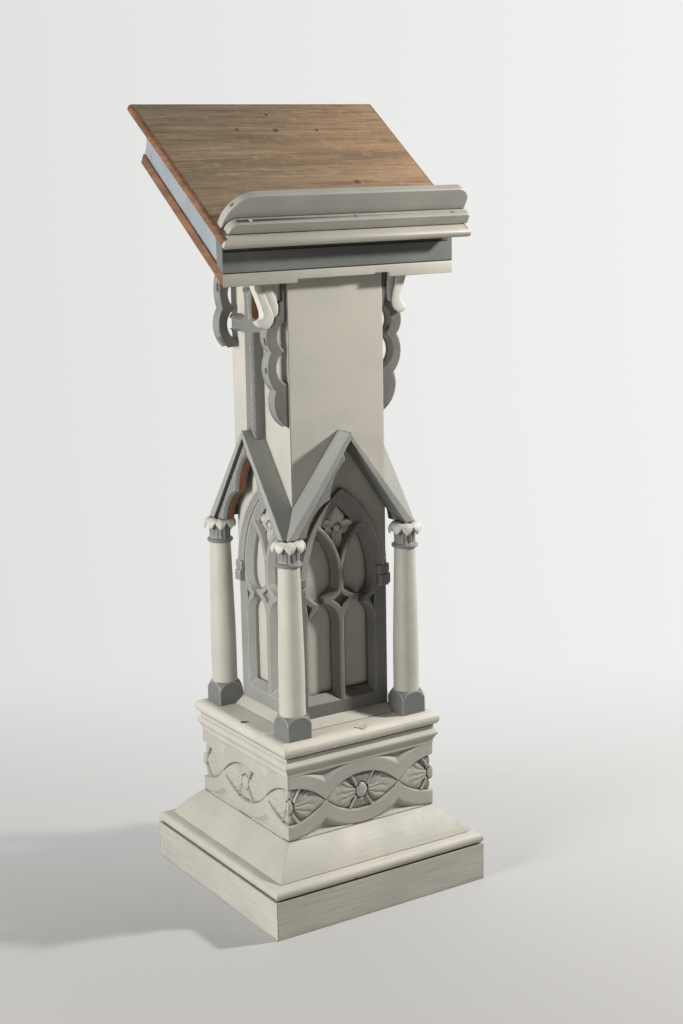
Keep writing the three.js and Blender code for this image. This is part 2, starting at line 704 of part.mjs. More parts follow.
function topBoard() {
  const radius = DESK_TOP_BOARD / 2;
  const middle = DESK_RAIL_TOP + radius;
  const noseFront = arc(DESK_TOP_FRONT + radius, middle, radius, 270, 90, 8);
  const top = DESK_RAIL_TOP + DESK_TOP_BOARD;
  const length = [...noseFront, [DESK_TOP_BACK, top], [DESK_TOP_BACK, DESK_RAIL_TOP]];
  const noseRight = arc(DESK_TOP_HALF - radius, middle, radius, -90, 90, 8);
  const across = facing([...noseRight, ...mirrored(noseRight)], -DESK_TOP_BACK, -DESK_TOP_FRONT);
  const corners = across.attributes.position;
  for (let i = 0; i < corners.count; i += 1) {
    const behindFront = (corners.getY(i) - DESK_TOP_FRONT) / (DESK_TOP_BACK - DESK_TOP_FRONT);
    corners.setX(i, corners.getX(i) + Math.sign(corners.getX(i)) * DESK_TOP_FLARE * behindFront);
  }
  const along = toSolid(alongX(length.reverse(), -BIG, BIG));
  return toGeometry(along.intersect(toSolid(across)));
}

// A board of the book rest, standing on the top board, with both upper corners rounded.
function restBoard({ front, thickness, top, left, right, leftRadius, rightRadius }) {
  const foot = DESK_RAIL_TOP + DESK_TOP_BOARD + GAP;
  const outline = [
    [left, foot], [right, foot],
    ...arc(right - rightRadius, top - rightRadius, rightRadius, 0, 90, 6),
    ...arc(left + leftRadius, top - leftRadius, leftRadius, 90, 180, 8),
  ];
  return facing(outline, -front - thickness, -front);
}

place(desk, 'desk_bottom_board', bottomBoard(), OFF_WHITE);
const rails = deskRails();
for (const [name, solid] of Object.entries(rails)) {
  place(desk, name, toGeometry(solid), name.endsWith('front') ? GREY : BLUE_GREY);
}
place(desk, 'desk_top_board', topBoard(), BARE_WOOD);
place(desk, 'book_rest_front', restBoard(FRONT_REST), OFF_WHITE);
place(desk, 'book_rest_back', restBoard(BACK_REST), OFF_WHITE);

export default pulpit;
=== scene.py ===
"""The looks of the wooden pulpit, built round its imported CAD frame. Metres, +Z up."""

import math

import bmesh
import bpy
from mathutils import Matrix, Vector, noise
from mathutils.geometry import tessellate_polygon


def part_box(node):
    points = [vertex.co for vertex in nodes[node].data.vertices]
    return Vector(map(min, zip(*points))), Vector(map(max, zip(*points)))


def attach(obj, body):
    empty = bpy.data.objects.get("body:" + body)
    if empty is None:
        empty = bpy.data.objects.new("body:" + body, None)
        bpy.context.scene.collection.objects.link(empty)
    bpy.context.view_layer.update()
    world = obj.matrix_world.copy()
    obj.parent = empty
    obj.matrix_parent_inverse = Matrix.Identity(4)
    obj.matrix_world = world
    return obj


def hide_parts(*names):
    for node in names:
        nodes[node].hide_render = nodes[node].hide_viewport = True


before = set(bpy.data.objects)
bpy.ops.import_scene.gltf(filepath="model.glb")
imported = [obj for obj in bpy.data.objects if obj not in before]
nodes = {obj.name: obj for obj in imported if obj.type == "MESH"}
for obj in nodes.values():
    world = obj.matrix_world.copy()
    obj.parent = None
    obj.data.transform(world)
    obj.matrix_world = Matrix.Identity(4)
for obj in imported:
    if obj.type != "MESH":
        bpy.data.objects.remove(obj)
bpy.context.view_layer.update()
scene = bpy.context.scene
MM = 0.001
TAU = 2 * math.pi
SIDES = ("front", "right", "back", "left")
HANDS = (("left", -1), ("right", 1))
CORNERS = [(depth, hand, sx, sy) for depth, sy in (("front", -1), ("back", 1)) for hand, sx in HANDS]

# Sizes in millimetres, read from the frame where it has them.
CORE = -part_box("shaft_board_front")[0].y / MM            # half the side of the square shaft
SHAFT_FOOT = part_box("shaft_board_front")[0].z / MM
SLAB_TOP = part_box("column_slab")[1].z / MM
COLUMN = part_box("column_front_right")
COLUMN_CENTRE = (COLUMN[0].x + COLUMN[1].x) / 2 / MM
COLUMN_TOP = COLUMN[1].z / MM
CAPITAL_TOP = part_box("capital_front_right")[1].z / MM
FRIEZE = -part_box("frieze_panel_front")[0].y / MM
FRIEZE_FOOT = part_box("frieze_panel_front")[0].z / MM
FRIEZE_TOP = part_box("frieze_panel_front")[1].z / MM
ROOF_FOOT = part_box("gable_roof_front_left")[0].z / MM
GABLE_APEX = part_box("gable_roof_front_left")[1].z / MM
BARGE_FRONT = -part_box("bargeboard_front_left")[0].y / MM


# ---------- camera, light and floor ----------

# The photograph's camera: bearing, downward tilt and roll in degrees, place in metres, and its lens.
CAMERA_TURN = (-32.6888, 12.1885, -1.0892)
CAMERA_PLACE = (-1.4124, -2.2954, 1.2097)
LENS, SENSOR = 58.555, 36
ROOM, BACKDROP = 0.04, 0.80           # the world's strength in front of the object and behind it
FLOOR_FADE = (0.54, 0.84, 0)          # the way in which the floor fades first: away from the camera


def make_camera():
    azimuth, pitch, roll = (math.radians(a) for a in CAMERA_TURN)
    back = Vector((
        math.sin(azimuth) * math.cos(pitch),
        -math.cos(azimuth) * math.cos(pitch),
        math.sin(pitch),
    ))
    level = Vector((math.cos(azimuth), math.sin(azimuth), 0))
    upright = level.cross(-back)
    right = math.cos(roll) * level + math.sin(roll) * upright
    up = math.cos(roll) * upright - math.sin(roll) * level
    data = bpy.data.cameras.new("camera")
    data.sensor_width = SENSOR
    data.lens = LENS
    camera = bpy.data.objects.new("camera", data)
    scene.collection.objects.link(camera)
    turn = Matrix((right, up, back)).transposed().to_4x4()
    camera.matrix_world = Matrix.Translation(CAMERA_PLACE) @ turn
    scene.camera = camera


def area_light(name, place, target, size, watts, colour):
    data = bpy.data.lights.new(name, "AREA")
    data.shape = "DISK"
    data.size = size
    data.energy = watts
    data.color = colour
    lamp = bpy.data.objects.new(name, data)
    scene.collection.objects.link(lamp)
    lamp.location = place
    lamp.rotation_euler = (Vector(target) - Vector(place)).to_track_quat("-Z", "Y").to_euler()


def make_studio():
    """A bright backdrop behind, a dim room in front, and two lamps. The camera sees a plain pale world."""
    world = bpy.data.worlds.new("studio")
    world.use_nodes = True
    world.node_tree.nodes.clear()
    n = Graph(world.node_tree)
    heading = n.node("SeparateXYZ", {0: n.node("TexCoord").outputs["Generated"]}).outputs
    behind = n.maths("ADD", n.maths("MULTIPLY", heading["X"], 0.5), n.maths("MULTIPLY", heading["Y"], 0.85))
    room = n.node("Background", {"Strength": n.ramp(behind, -0.2, 0.7, ROOM, BACKDROP)})
    sweep = n.ramp(heading["X"], 0.05, 0.95, 0.70, 0.93)
    seen = n.node("Background", {"Color": (0.99, 0.99, 0.98), "Strength": sweep})
    direct = n.node("LightPath").outputs["Is Camera Ray"]
    mix = n.node("MixShader", {0: direct, 1: room.outputs[0], 2: seen.outputs[0]})
    n.node("OutputWorld", {"Surface": mix.outputs[0]})
    scene.world = world
    scene.view_settings.view_transform = "Standard"
    area_light("left_softbox", (-2.9, -0.35, 1.35), (0, 0, 0.7), 1.2, 92, (1, 0.995, 0.975))
    area_light("right_key", (1.66, -0.83, 1.64), (0, 0, 0.75), 0.19, 60, (1, 0.975, 0.93))


def make_floor():
    """A pale floor that fades into the backdrop further out."""
    sheet = Piece()
    sheet.lathe([(r / MM, 0) for r in (0.0, 0.6, 1.5, 3, 5, 8, 12, 20)], 96)
    floor = bpy.data.objects.new("floor", sheet.mesh("floor", closed=False))
    scene.collection.objects.link(floor)
    n = Nodes("studio_floor")
    n.feed(n.shader, {"Base Color": (0.44, 0.435, 0.427), "Roughness": 0.7})
    away = n.vector("LENGTH", n.place)
    across = n.vector("DOT_PRODUCT", n.place, FLOOR_FADE)
    faded = n.maths("MAXIMUM", n.ramp(across, -0.65, 1.25), n.ramp(away, 1.6, 4.5))
    mix = n.node("MixShader", {0: faded, 1: n.shader.outputs[0], 2: n.node("BsdfTransparent").outputs[0]})
    n.feed(n.tree.nodes["Material Output"], {"Surface": mix.outputs[0]})
    floor.data.materials.append(n.material)


# ---------- outlines ----------

def arc(centre, radius, start, end, steps):
    """Points on an arc between two angles in degrees, both ends kept."""
    angles = [math.radians(start + (end - start) * i / steps) for i in range(steps + 1)]
    return [(centre[0] + radius * math.cos(a), centre[1] + radius * math.sin(a)) for a in angles]


def bow(p, q, sag, steps):
    """Points from p to q on an arc that stands `sag` to the left of the line p-q, both ends kept."""
    dx, dy = q[0] - p[0], q[1] - p[1]
    chord = math.hypot(dx, dy)
    if abs(sag) < 1e-6:
        return [(p[0] + dx * i / steps, p[1] + dy * i / steps) for i in range(steps + 1)]
    radius = (chord * chord / 4 + sag * sag) / (2 * abs(sag))
    half = math.asin(min(1, chord / 2 / radius))
    points = []
    for i in range(steps + 1):
        a = -half + 2 * half * i / steps
        along = math.sin(a) * radius + chord / 2
        off = math.copysign((math.cos(a) - math.cos(half)) * radius, sag)
        points.append((p[0] + (dx * along - dy * off) / chord, p[1] + (dy * along + dx * off) / chord))
    return points


def join(*runs):
    """One outline from several runs of points, without the doubled ends."""
    points = []
    for run in runs:
        for p in run:
            if not points or math.dist(p, points[-1]) > 1e-4:
                points.append(tuple(p))
    return points


def flip(points):
    return [(-a, b) for a, b in reversed(points)]


def inset(points, distance):
    """The closed outline moved towards its left side, corners mitred and kept from shooting out."""
    moved = []
    count = len(points)
    for i, (x, y) in enumerate(points):
        ax, ay = points[i - 1]
        bx, by = points[(i + 1) % count]
        e0 = Vector((x - ax, y - ay)).normalized()
        e1 = Vector((bx - x, by - y)).normalized()
        n0, n1 = Vector((-e0.y, e0.x)), Vector((-e1.y, e1.x))
        m = n0 + n1
        m = m / max(m.length_squared, 0.6) * 2
        moved.append((x + m.x * distance, y + m.y * distance))
    return moved


# ---------- solids ----------

class Piece:
    """Gathers the points (millimetres) and faces of one piece."""

    def __init__(self):
        self.points = []
        self.faces = []
        self.slots = []

    def ring(self, points):
        start = len(self.points)
        self.points += [tuple(p) for p in points]
        return list(range(start, len(self.points)))

    def face(self, corners, slot=0):
        self.faces.append(tuple(corners))
        self.slots.append(slot)

    def bridge(self, a, b, slot=0, closed=True):
        count = len(a)
        for i in range(count if closed else count - 1):
            j = (i + 1) % count
            self.face((a[i], a[j], b[j], b[i]), slot)

    def sheet(self, rows):
        rings = [self.ring(row) for row in rows]
        for a, b in zip(rings, rings[1:]):
            self.bridge(a, b, closed=False)
        return rings

    def thick_sheet(self, top, bottom):
        """Joins two matching grids of points into one closed skin."""
        self.bridge(rim(self.sheet(top)), rim(self.sheet(bottom)))

    def tube(self, rows, end_slot=0):
        """A run of matching sections, closed at both ends."""
        rings = [self.ring(row) for row in rows]
        for a, b in zip(rings, rings[1:]):
            self.bridge(a, b)
        for end in (rings[0], rings[-1]):
            self.face(end, end_slot)

    def level_ring(self, outline, out):
        return self.ring([facing(a, b, out) for a, b in outline])

    def lathe(self, profile, segments, shape=None):
        """Turns (radius, height) points about the vertical axis; shape may move the radius by angle."""
        rings = []
        for r, z in profile:
            if r < 1e-6:
                rings.append(self.ring([(0, 0, z)]) * segments)
                continue
            row = []
            for k in range(segments):
                a = TAU * k / segments
                radius = shape(r, z, a) if shape else r
                row.append((radius * math.cos(a), radius * math.sin(a), z))
            rings.append(self.ring(row))
        for low, high in zip(rings, rings[1:]):
            for k in range(segments):
                n = (k + 1) % segments
                corners = [low[k], low[n], high[n], high[k]]
                face = [c for i, c in enumerate(corners) if c != corners[i - 1]]
                if len(set(face)) > 2:
                    self.face(face)

    def slabbed(self, outline, place, near, far, chamfer=0, slot=0):
        """A board: the outline at depth `far`, chamfered back from `near`. place(a, b, depth) gives 3-D."""
        back = self.ring([place(a, b, near) for a, b in outline])
        front = self.ring([place(a, b, far - math.copysign(chamfer, far - near)) for a, b in outline])
        self.bridge(back, front, slot)
        self.fill([back], [outline], slot)
        if chamfer:
            outline = inset(outline, chamfer)
            smaller = self.ring([place(a, b, far) for a, b in outline])
            self.bridge(front, smaller, slot)
            front = smaller
        self.fill([front], [outline], slot)

    def fill(self, rings, shapes, slot=0):
        """Closes a flat area. The rings after the first are holes in it, and shapes has them all in 2-D."""
        index = [i for ring in rings for i in ring]
        for triangle in tessellate_polygon([[Vector((a, b, 0)) for a, b in shape] for shape in shapes]):
            self.face([index[k] for k in triangle], slot)

    def repaint(self, slot, test):
        """Gives another material to the faces whose middle and normal pass the test."""
        for i, face in enumerate(self.faces):
            corners = [Vector(self.points[k]) for k in face]
            middle = sum(corners, Vector()) / len(corners)
            normal = (corners[1] - corners[0]).cross(corners[-1] - corners[0])
            if normal.length and test(middle, normal.normalized()):
                self.slots[i] = slot

    def mesh(self, name, turn=None, closed=True):
        mesh = bpy.data.meshes.new(name)
        mesh.from_pydata([Vector(p) * MM for p in self.points], [], self.faces)
        mesh.polygons.foreach_set("material_index", self.slots)
        work = bmesh.new()
        work.from_mesh(mesh)
        if turn:
            bmesh.ops.transform(work, matrix=turn, verts=work.verts)
        bmesh.ops.remove_doubles(work, verts=work.verts, dist=2e-6)
        bmesh.ops.dissolve_degenerate(work, dist=1e-7, edges=work.edges)
        bmesh.ops.recalc_face_normals(work, faces=work.faces)
        if not closed and sum(f.normal.z for f in work.faces) < 0:
            bmesh.ops.reverse_faces(work, faces=work.faces)
        work.to_mesh(mesh)
        work.free()
        return mesh


def rim(rows):
    """The outer points of a grid, in order."""
    return rows[0] + [row[-1] for row in rows[1:-1]] + rows[-1][::-1] + [row[0] for row in rows[-2:0:-1]]


def add(name, piece, materials, replaces=(), turn=None, angle=32, bevel=0):
    """Makes the piece an object on the root body. Its mesh is in the row frame."""
    obj = bpy.data.objects.new(name, piece.mesh(name, turn))
    scene.collection.objects.link(obj)
    for material in materials if isinstance(materials, tuple) else (materials,):
        obj.data.materials.append(material)
    if bevel:
        modifier = obj.modifiers.new("worn_arris", "BEVEL")
        modifier.width = bevel * MM
        modifier.segments = 2
        modifier.limit_method = "ANGLE"
        modifier.angle_limit = math.radians(35)
        applied = bpy.data.meshes.new_from_object(obj.evaluated_get(bpy.context.evaluated_depsgraph_get()))
        obj.modifiers.clear()
        obj.data = applied
        obj.data.name = name
    obj.data.polygons.foreach_set("use_smooth", [True] * len(obj.data.polygons))
    obj.data.set_sharp_from_angle(angle=math.radians(angle))
    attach(obj, "root")
    if replaces:
        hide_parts(*replaces)


def face_turn(index):
    """Turns a piece made for the front face onto one of the four faces."""
    return Matrix.Rotation(index * math.pi / 2, 4, "Z")


def facing(across, up, out):
    """A point on the front elevation, `out` from the pulpit's middle towards the reader."""
    return (across, -out, up)


# ---------- materials ----------

class Graph:
    """Short forms for the few node types that the world, the paints and the timbers use."""

    def __init__(self, tree):
        self.tree = tree

    def node(self, kind, inputs=None, **settings):
        node = self.tree.nodes.new("ShaderNode" + kind)
        for key, value in settings.items():
            setattr(node, key, value)
        self.feed(node, inputs or {})
        return node

    def feed(self, node, inputs):
        """Sets each input to a number, a place or a colour, or links it to another node's output."""
        for key, value in inputs.items():
            socket = node.inputs[key]
            if isinstance(value, (int, float)):
                socket.default_value = value
            elif isinstance(value, tuple):
                socket.default_value = (*value, 1) if socket.type == "RGBA" else value
            else:
                self.tree.links.new(value, socket)

    def ramp(self, value, low, high, out_low=0.0, out_high=1.0):
        inputs = {"Value": value, "From Min": low, "From Max": high, "To Min": out_low, "To Max": out_high}
        return self.node("MapRange", inputs, interpolation_type="SMOOTHSTEP").outputs["Result"]

    def maths(self, operation, a, b=0.0, clamp=False):
        return self.node("Math", {0: a, 1: b}, operation=operation, use_clamp=clamp).outputs[0]

    def vector(self, operation, a, b=(0, 0, 0)):
        return self.node("VectorMath", {0: a, 1: b}, operation=operation).outputs["Value"]


class Nodes(Graph):
    """A material's graph, with the textures and masks that the paints and timbers share."""

    def __init__(self, name):
        self.material = bpy.data.materials.new(name)
        self.material.use_nodes = True
        super().__init__(self.material.node_tree)
        self.shader = self.tree.nodes["Principled BSDF"]
        self.place = self.node("TexCoord").outputs["Object"]

    def stretched(self, scale, shift=(0, 0, 0)):
        inputs = {"Vector": self.place, "Scale": scale, "Location": shift}
        return self.node("Mapping", inputs).outputs["Vector"]

    def noise(self, vector, scale, detail=4, rough=0.55, distortion=0.0):
        texture = {"Scale": scale, "Detail": detail, "Roughness": rough, "Distortion": distortion}
        return self.node("TexNoise", {"Vector": vector, **texture}).outputs["Fac"]

    def mix(self, factor, a, b, blend="MIX"):
        return self.node("Mix", {0: factor, 6: a, 7: b}, data_type="RGBA", blend_type=blend).outputs[2]

    def blend(self, colour, mask, strength, other):
        """The colour with the other laid over it where the mask is, at the given strength."""
        return self.mix(self.maths("MULTIPLY", mask, strength), colour, other)

    def axis(self, vector, letter):
        return self.node("SeparateXYZ", {0: vector}).outputs[letter]

    def cavity(self, distance):
        return self.node("AmbientOcclusion", {"Distance": distance}, samples=6).outputs["AO"]

    def arris(self, radius):
        """0 on flats, rising to 1 on sharp edges, with the rounded normal."""
        rounded = self.node("Bevel", {"Radius": radius}, samples=4).outputs["Normal"]
        flat = self.node("NewGeometry").outputs["Normal"]
        return self.ramp(self.vector("DOT_PRODUCT", rounded, flat), 0.992, 0.92), rounded

    def near(self, marks, wobble):
        """1 near any of the (x, y, z, radius) marks, in metres, with an edge broken up by the noise."""
        total = 0.0
        for *place, radius in marks:
            away = self.vector("DISTANCE", self.place, tuple(place))
            ragged = self.maths("ADD", away, self.maths("MULTIPLY", wobble, radius))
            total = self.maths("MAXIMUM", total, self.ramp(ragged, 1.35 * radius, 1.60 * radius, 1.0, 0.0))
        return total

    def finish(self, colour, roughness, height, strength, normal=None):
        bump = self.node("Bump", {"Strength": strength, "Distance": 0.001, "Height": height})
        if normal:
            self.feed(bump, {"Normal": normal})
        bumped = bump.outputs["Normal"]
        self.feed(self.shader, {"Base Color": colour, "Roughness": roughness, "Normal": bumped})
        return self.material


def along(axis, fine, coarse):
    """A scale that is coarse along the grain's axis and fine across it."""
    return tuple(coarse if a == axis else fine for a in "XYZ")


# Colours that show through or lie on the paint: undercoat, soiling with painted shade in corners, open
# joints with painted shade, rubbed edges.
UNDERCOAT = (0.20, 0.155, 0.115)
GRIME_AND_SHADE = (0.16, 0.135, 0.105)
JOINT_SHADE = (0.05, 0.042, 0.032)
LIGHT_WEAR = (0.60, 0.58, 0.53)


def tuned(colour, factor):
    return tuple(min(1.0, c * factor) for c in colour)


def painted(name, base, tint, grain, wear=0.5, grime=0.5, streak=0.22, scuffs=0.5, worn_to=UNDERCOAT,
            torn=(), torn_to=(0.52, 0.46, 0.37), edge_width=0.0016, under=0.0):
    """Old brushed paint on timber: streaks along the grain, patchy tone, soiling with painted shade in
    corners, bare edges.

    wear bares the arrises, scuffs the flats, and torn is a list of marks where the paint is gone. under
    darkens the faces that look down, as painted shade.
    """
    n = Nodes(name)
    patches = n.noise(n.place, 9, 5, 0.6)
    brush = n.noise(n.stretched(along(grain, 420, 14)), 1, 3, 0.6)
    fibres = n.noise(n.stretched(along(grain, 900, 22)), 1, 2, 0.5)
    blotch = n.noise(n.place, 55, 4, 0.6)
    colour = n.mix(n.ramp(patches, 0.35, 0.68), base, tint)
    colour = n.blend(colour, n.ramp(brush, 0.45, 0.72), streak, tuned(base, 0.72))
    colour = n.blend(colour, n.ramp(blotch, 0.5, 0.75), 0.16, tuned(base, 1.12))
    # Painted shade: ambient occlusion darkens the hollows, mixed with patchy soiling.
    hollow = n.ramp(n.cavity(0.014), 0.78, 0.30)
    dirt_and_shade = n.maths("MULTIPLY", hollow, n.ramp(blotch, 0.25, 0.7, 0.5, 1.0))
    colour = n.blend(colour, dirt_and_shade, grime, GRIME_AND_SHADE)
    # Painted shade: creases and joints within a few millimetres are drawn nearly black.
    colour = n.blend(colour, n.ramp(n.cavity(0.0034), 0.62, 0.30), 0.75, JOINT_SHADE)
    # Painted shade: faces that look down are darkened.
    if under:
        upward = n.axis(n.node("NewGeometry").outputs["Normal"], "Z")
        colour = n.mix(n.ramp(upward, -0.35, -0.15, under, 0.0), colour, tuned(base, 0.35))
    edge, normal = n.arris(edge_width)
    chipping = n.noise(n.place, 210, 5, 0.7)
    worn = n.maths("MULTIPLY", edge, n.ramp(chipping, 0.66 - 0.22 * wear, 0.70 - 0.18 * wear))
    spots = n.noise(n.stretched(along(grain, 260, 60), (3, 1, 2)), 1, 4, 0.65)
    fields = n.noise(n.place, 16, 3, 0.5)
    scuffed = n.maths("MULTIPLY", n.ramp(spots, 0.675, 0.70), n.ramp(fields, 0.52, 0.62))
    scuffed = n.maths("MULTIPLY", scuffed, scuffs)
    colour = n.blend(colour, worn, 0.85, worn_to)
    colour = n.blend(colour, scuffed, 0.85, UNDERCOAT)
    bare = n.maths("MAXIMUM", worn, scuffed, clamp=True)
    if torn:
        tear = n.near(torn, n.noise(n.stretched(along(grain, 300, 90)), 1, 4, 0.7))
        colour = n.mix(tear, colour, torn_to)
        bare = n.maths("MAXIMUM", bare, tear)
    roughness = n.ramp(patches, 0.3, 0.7, 0.5 - 0.07, 0.5 + 0.1)
    height = n.maths("ADD", n.maths("MULTIPLY", brush, 0.6), n.maths("MULTIPLY", fibres, 0.3))
    height = n.maths("SUBTRACT", height, n.maths("MULTIPLY", bare, 0.8))
    return n.finish(colour, roughness, height, 0.16, normal)


def timber(name, light, dark, grain, rough=0.6, knots=0.5, dust=0.0, stains=(), sides=None):
    """Bare wood: growth-ring streaks and pores along the grain. sides: tints for low and high x."""
    n = Nodes(name)
    warp = n.noise(n.stretched(along(grain, 14, 1.6)), 1, 3, 0.5, 1.2)
    rings = n.noise(n.stretched(along(grain, 165, 8)), 1, 6, 0.68, 0.9)
    pores = n.noise(n.stretched(along(grain, 1500, 60)), 1, 3, 0.6)
    bands = n.noise(n.stretched(along(grain, 34, 1.8), (1, 5, 2)), 1, 3, 0.5)
    colour = n.mix(n.ramp(rings, 0.34, 0.68), dark, light)
    colour = n.blend(colour, n.ramp(warp, 0.45, 0.7), knots, tuned(dark, 0.62))
    colour = n.blend(colour, n.ramp(bands, 0.4, 0.7), 0.35, tuned(light, 1.3))
    colour = n.blend(colour, n.ramp(pores, 0.52, 0.72), 0.5, tuned(dark, 0.4))
    bloom = n.noise(n.place, 60, 6, 0.75)
    colour = n.blend(colour, n.ramp(bloom, 0.5, 0.72), dust, (0.50, 0.46, 0.40))
    if sides:
        drift = n.maths("ADD", n.axis(n.place, "X"), n.maths("MULTIPLY", warp, 0.16))
        colour = n.mix(1.0, colour, n.mix(n.ramp(drift, -0.12, 0.30), *sides), "MULTIPLY")
    if stains:
        smudge = n.near(stains, n.noise(n.stretched(along(grain, 160, 40)), 1, 4, 0.7))
        colour = n.blend(colour, smudge, 0.65, tuned(dark, 0.35))
    roughness = n.ramp(rings, 0.3, 0.7, rough - 0.08, rough + 0.08)
    edge, normal = n.arris(0.0012)
    colour = n.blend(colour, edge, 0.35, tuned(light, 1.25))
    pits = n.maths("MULTIPLY", n.ramp(pores, 0.5, 0.7), 0.6)
    height = n.maths("SUBTRACT", n.maths("MULTIPLY", rings, 0.4), pits)
    return n.finish(colour, roughness, height, 0.22, normal)


def fixing(name, colour, rough):
    """Dull metal, or the dark painted shade of a hole or gap: mottled colour on a pitted surface."""
    n = Nodes(name)
    grain = n.noise(n.place, 900, 4, 0.6)
    mottle = n.mix(n.ramp(grain, 0.35, 0.65), tuned(colour, 0.7), tuned(colour, 1.3))
    return n.finish(mottle, n.ramp(grain, 0.3, 0.7, rough - 0.08, rough + 0.08), grain, 0.2)


OFF_WHITE = (0.565, 0.54, 0.472)
OFF_WHITE_TINT = (0.49, 0.475, 0.425)
GREY = (0.280, 0.286, 0.264)
GREY_TINT = (0.325, 0.328, 0.302)
BLUE_GREY = (0.27, 0.30, 0.325)
BLUE_GREY_TINT = (0.33, 0.36, 0.38)


def off_white(name, grain, shade=1.0, **looks):
    return painted(name, tuned(OFF_WHITE, shade), tuned(OFF_WHITE_TINT, shade), grain, **looks)


white = {axis: off_white("off_white_" + axis, axis) for axis in "XZ"}
window_grey = painted("grey_Z", GREY, GREY_TINT, "Z", wear=1.15, worn_to=LIGHT_WEAR, edge_width=0.003)
blue_grey = painted("blue_grey_Z", BLUE_GREY, BLUE_GREY_TINT, "Z", wear=0.7, streak=0.5)
red_timber = timber("red_timber_Z", (0.30, 0.13, 0.055), (0.15, 0.06, 0.028), "Z", 0.6, 0.4)
bare_back = timber("bare_back", (0.17, 0.125, 0.085), (0.095, 0.068, 0.045), "Z", 0.7, 0.4)
iron = fixing("old_screw", (0.10, 0.09, 0.08), 0.55)
pale_iron = fixing("screw_slot", (0.32, 0.29, 0.25), 0.5)
# Near-black for holes and slots: painted shade.
hole_shade = fixing("hole", (0.02, 0.016, 0.012), 0.88)


# ---------- windows ----------

ARCH = (-103.5, 530)                  # centre that strikes the right half of each pointed arch
BRANCH = (103.5, 540)                 # centre that strikes the right light's inner side
FRAME_DEPTH = 16.2
SPANDREL_DEPTH = 7
# A label stop's blocks: (foot, top, inner end, how far it stands proud).
STOP_BLOCKS = ((531, 545.5, 70, 7.6), (511.5, 529, 71.5, 9.8), (528, 532, 73, 5.5))


def meeting(c0, r0, c1, r1):
    """The upper point where two circles cross."""
    dx, dy = c1[0] - c0[0], c1[1] - c0[1]
    d = math.hypot(dx, dy)
    a = (r0 * r0 - r1 * r1 + d * d) / (2 * d)
    h = math.sqrt(r0 * r0 - a * a)
    points = [(c0[0] + (a * dx + s * h * dy) / d, c0[1] + (a * dy - s * h * dx) / d) for s in (1, -1)]
    return max(points, key=lambda p: p[1])


def angle_of(centre, point):
    return math.degrees(math.atan2(point[1] - centre[1], point[0] - centre[0]))


def light_outline(deep):
    """A window light's outline on the front arris (deep 0) or at the back of its splay (deep 1)."""
    def at(front, back):
        return tuple(f + (b - f) * deep for f, b in zip(front, back))

    sill_in, sill_out = at((3.5, 328), (12.5, 341)), at((66.5, 328), (57.8, 341))
    shoulder = at((66.5, 457), (57.8, 456))
    tab_low, tab_high = at((44.5, 488), (43.4, 484)), at((44.5, 496), (43.4, 499))
    hip = at((69, 525), (58, 523))
    outer_radius, inner_radius = 172.5 - 11 * deep, 100 - 8.5 * deep
    tip = meeting(ARCH, outer_radius, BRANCH, inner_radius)
    waist = at((3.5, 515), (12.5, 520))
    point_high, point_low = at((34, 503.6), (33, 505)), at((31.5, 496.6), (33, 493))
    armpit = at((3.5, 460), (12.5, 461))
    easing = 1 - 0.35 * deep
    runs = [
        bow(sill_in, sill_out, 0, 6),
        bow(sill_out, shoulder, 0, 10),
        bow(shoulder, tab_low, -6 * easing, 8),
        bow(tab_low, tab_high, 0, 2),
        bow(tab_high, hip, -5 * easing, 8),
        arc(ARCH, outer_radius, angle_of(ARCH, hip), angle_of(ARCH, tip), 16),
        arc(BRANCH, inner_radius, angle_of(BRANCH, tip), 180, 12),
        bow((BRANCH[0] - inner_radius, BRANCH[1]), waist, 0, 3),
        bow(waist, point_high, -3 * easing, 8),
        bow(point_high, point_low, 0, 2),
        bow(point_low, armpit, -8 * easing, 8),
        bow(armpit, sill_in, 0, 10),
    ]
    return [p for run in runs for p in run[:-1]]


def kite_outline(deep):
    outer_radius, branch_radius = 172.5 - 11 * deep, 105.5 + 3.5 * deep
    corner = meeting(ARCH, outer_radius, BRANCH, branch_radius)
    apex = ARCH[1] + math.sqrt(outer_radius ** 2 - ARCH[0] ** 2)
    foot = BRANCH[1] + math.sqrt(branch_radius ** 2 - BRANCH[0] ** 2)
    lower = arc(BRANCH, branch_radius, angle_of(BRANCH, (0, foot)), angle_of(BRANCH, corner), 8)
    upper = arc(ARCH, outer_radius, angle_of(ARCH, corner), angle_of(ARCH, (0, apex)), 8)
    right = lower + upper[1:]
    right[0], right[-1] = (0, foot), (0, apex)
    return right + flip(right)[1:-1]


def spandrel_outlines():
    """The small sunk triangles beside the waists, and the diamond on the mullion."""
    side = [(63.5, 470.5), (63.5, 477), (67, 500), (55, 492.5), (60.5, 483)]
    diamond = [(0, 484), (5, 491), (16, 499.5), (4.5, 506), (0, 512), (-4.5, 506), (-16, 499.5), (-5, 491)]
    return [side, flip(side), diamond]


def frame_outline(half):
    """The window board: full width up to the label stops, then the pointed arch."""
    top, radius = 545, 185.5
    across = math.sqrt(radius ** 2 - (top - ARCH[1]) ** 2) + ARCH[0]
    apex = (0, ARCH[1] + math.sqrt(radius ** 2 - ARCH[0] ** 2))
    head = arc(ARCH, radius, angle_of(ARCH, (across, top)), angle_of(ARCH, apex), 12)
    head[-1] = apex
    right = [(half, SHAFT_FOOT), (half, top)] + [(min(half - 1, a), b) for a, b in head]
    return right + flip(right)[1:]


def window_paint(index):
    """The front window's grey is painted darker than the others', as painted shade, and worn more."""
    return front_grey_shaded if index == 0 else window_grey


# A darker copy of the window grey for the front face: painted shade.
front_grey_shaded = painted("front_window_grey_shaded", (0.175, 0.171, 0.154), (0.22, 0.215, 0.195), "Z", wear=1.2,
                     scuffs=1.0, worn_to=(0.46, 0.42, 0.37), edge_width=0.0032)


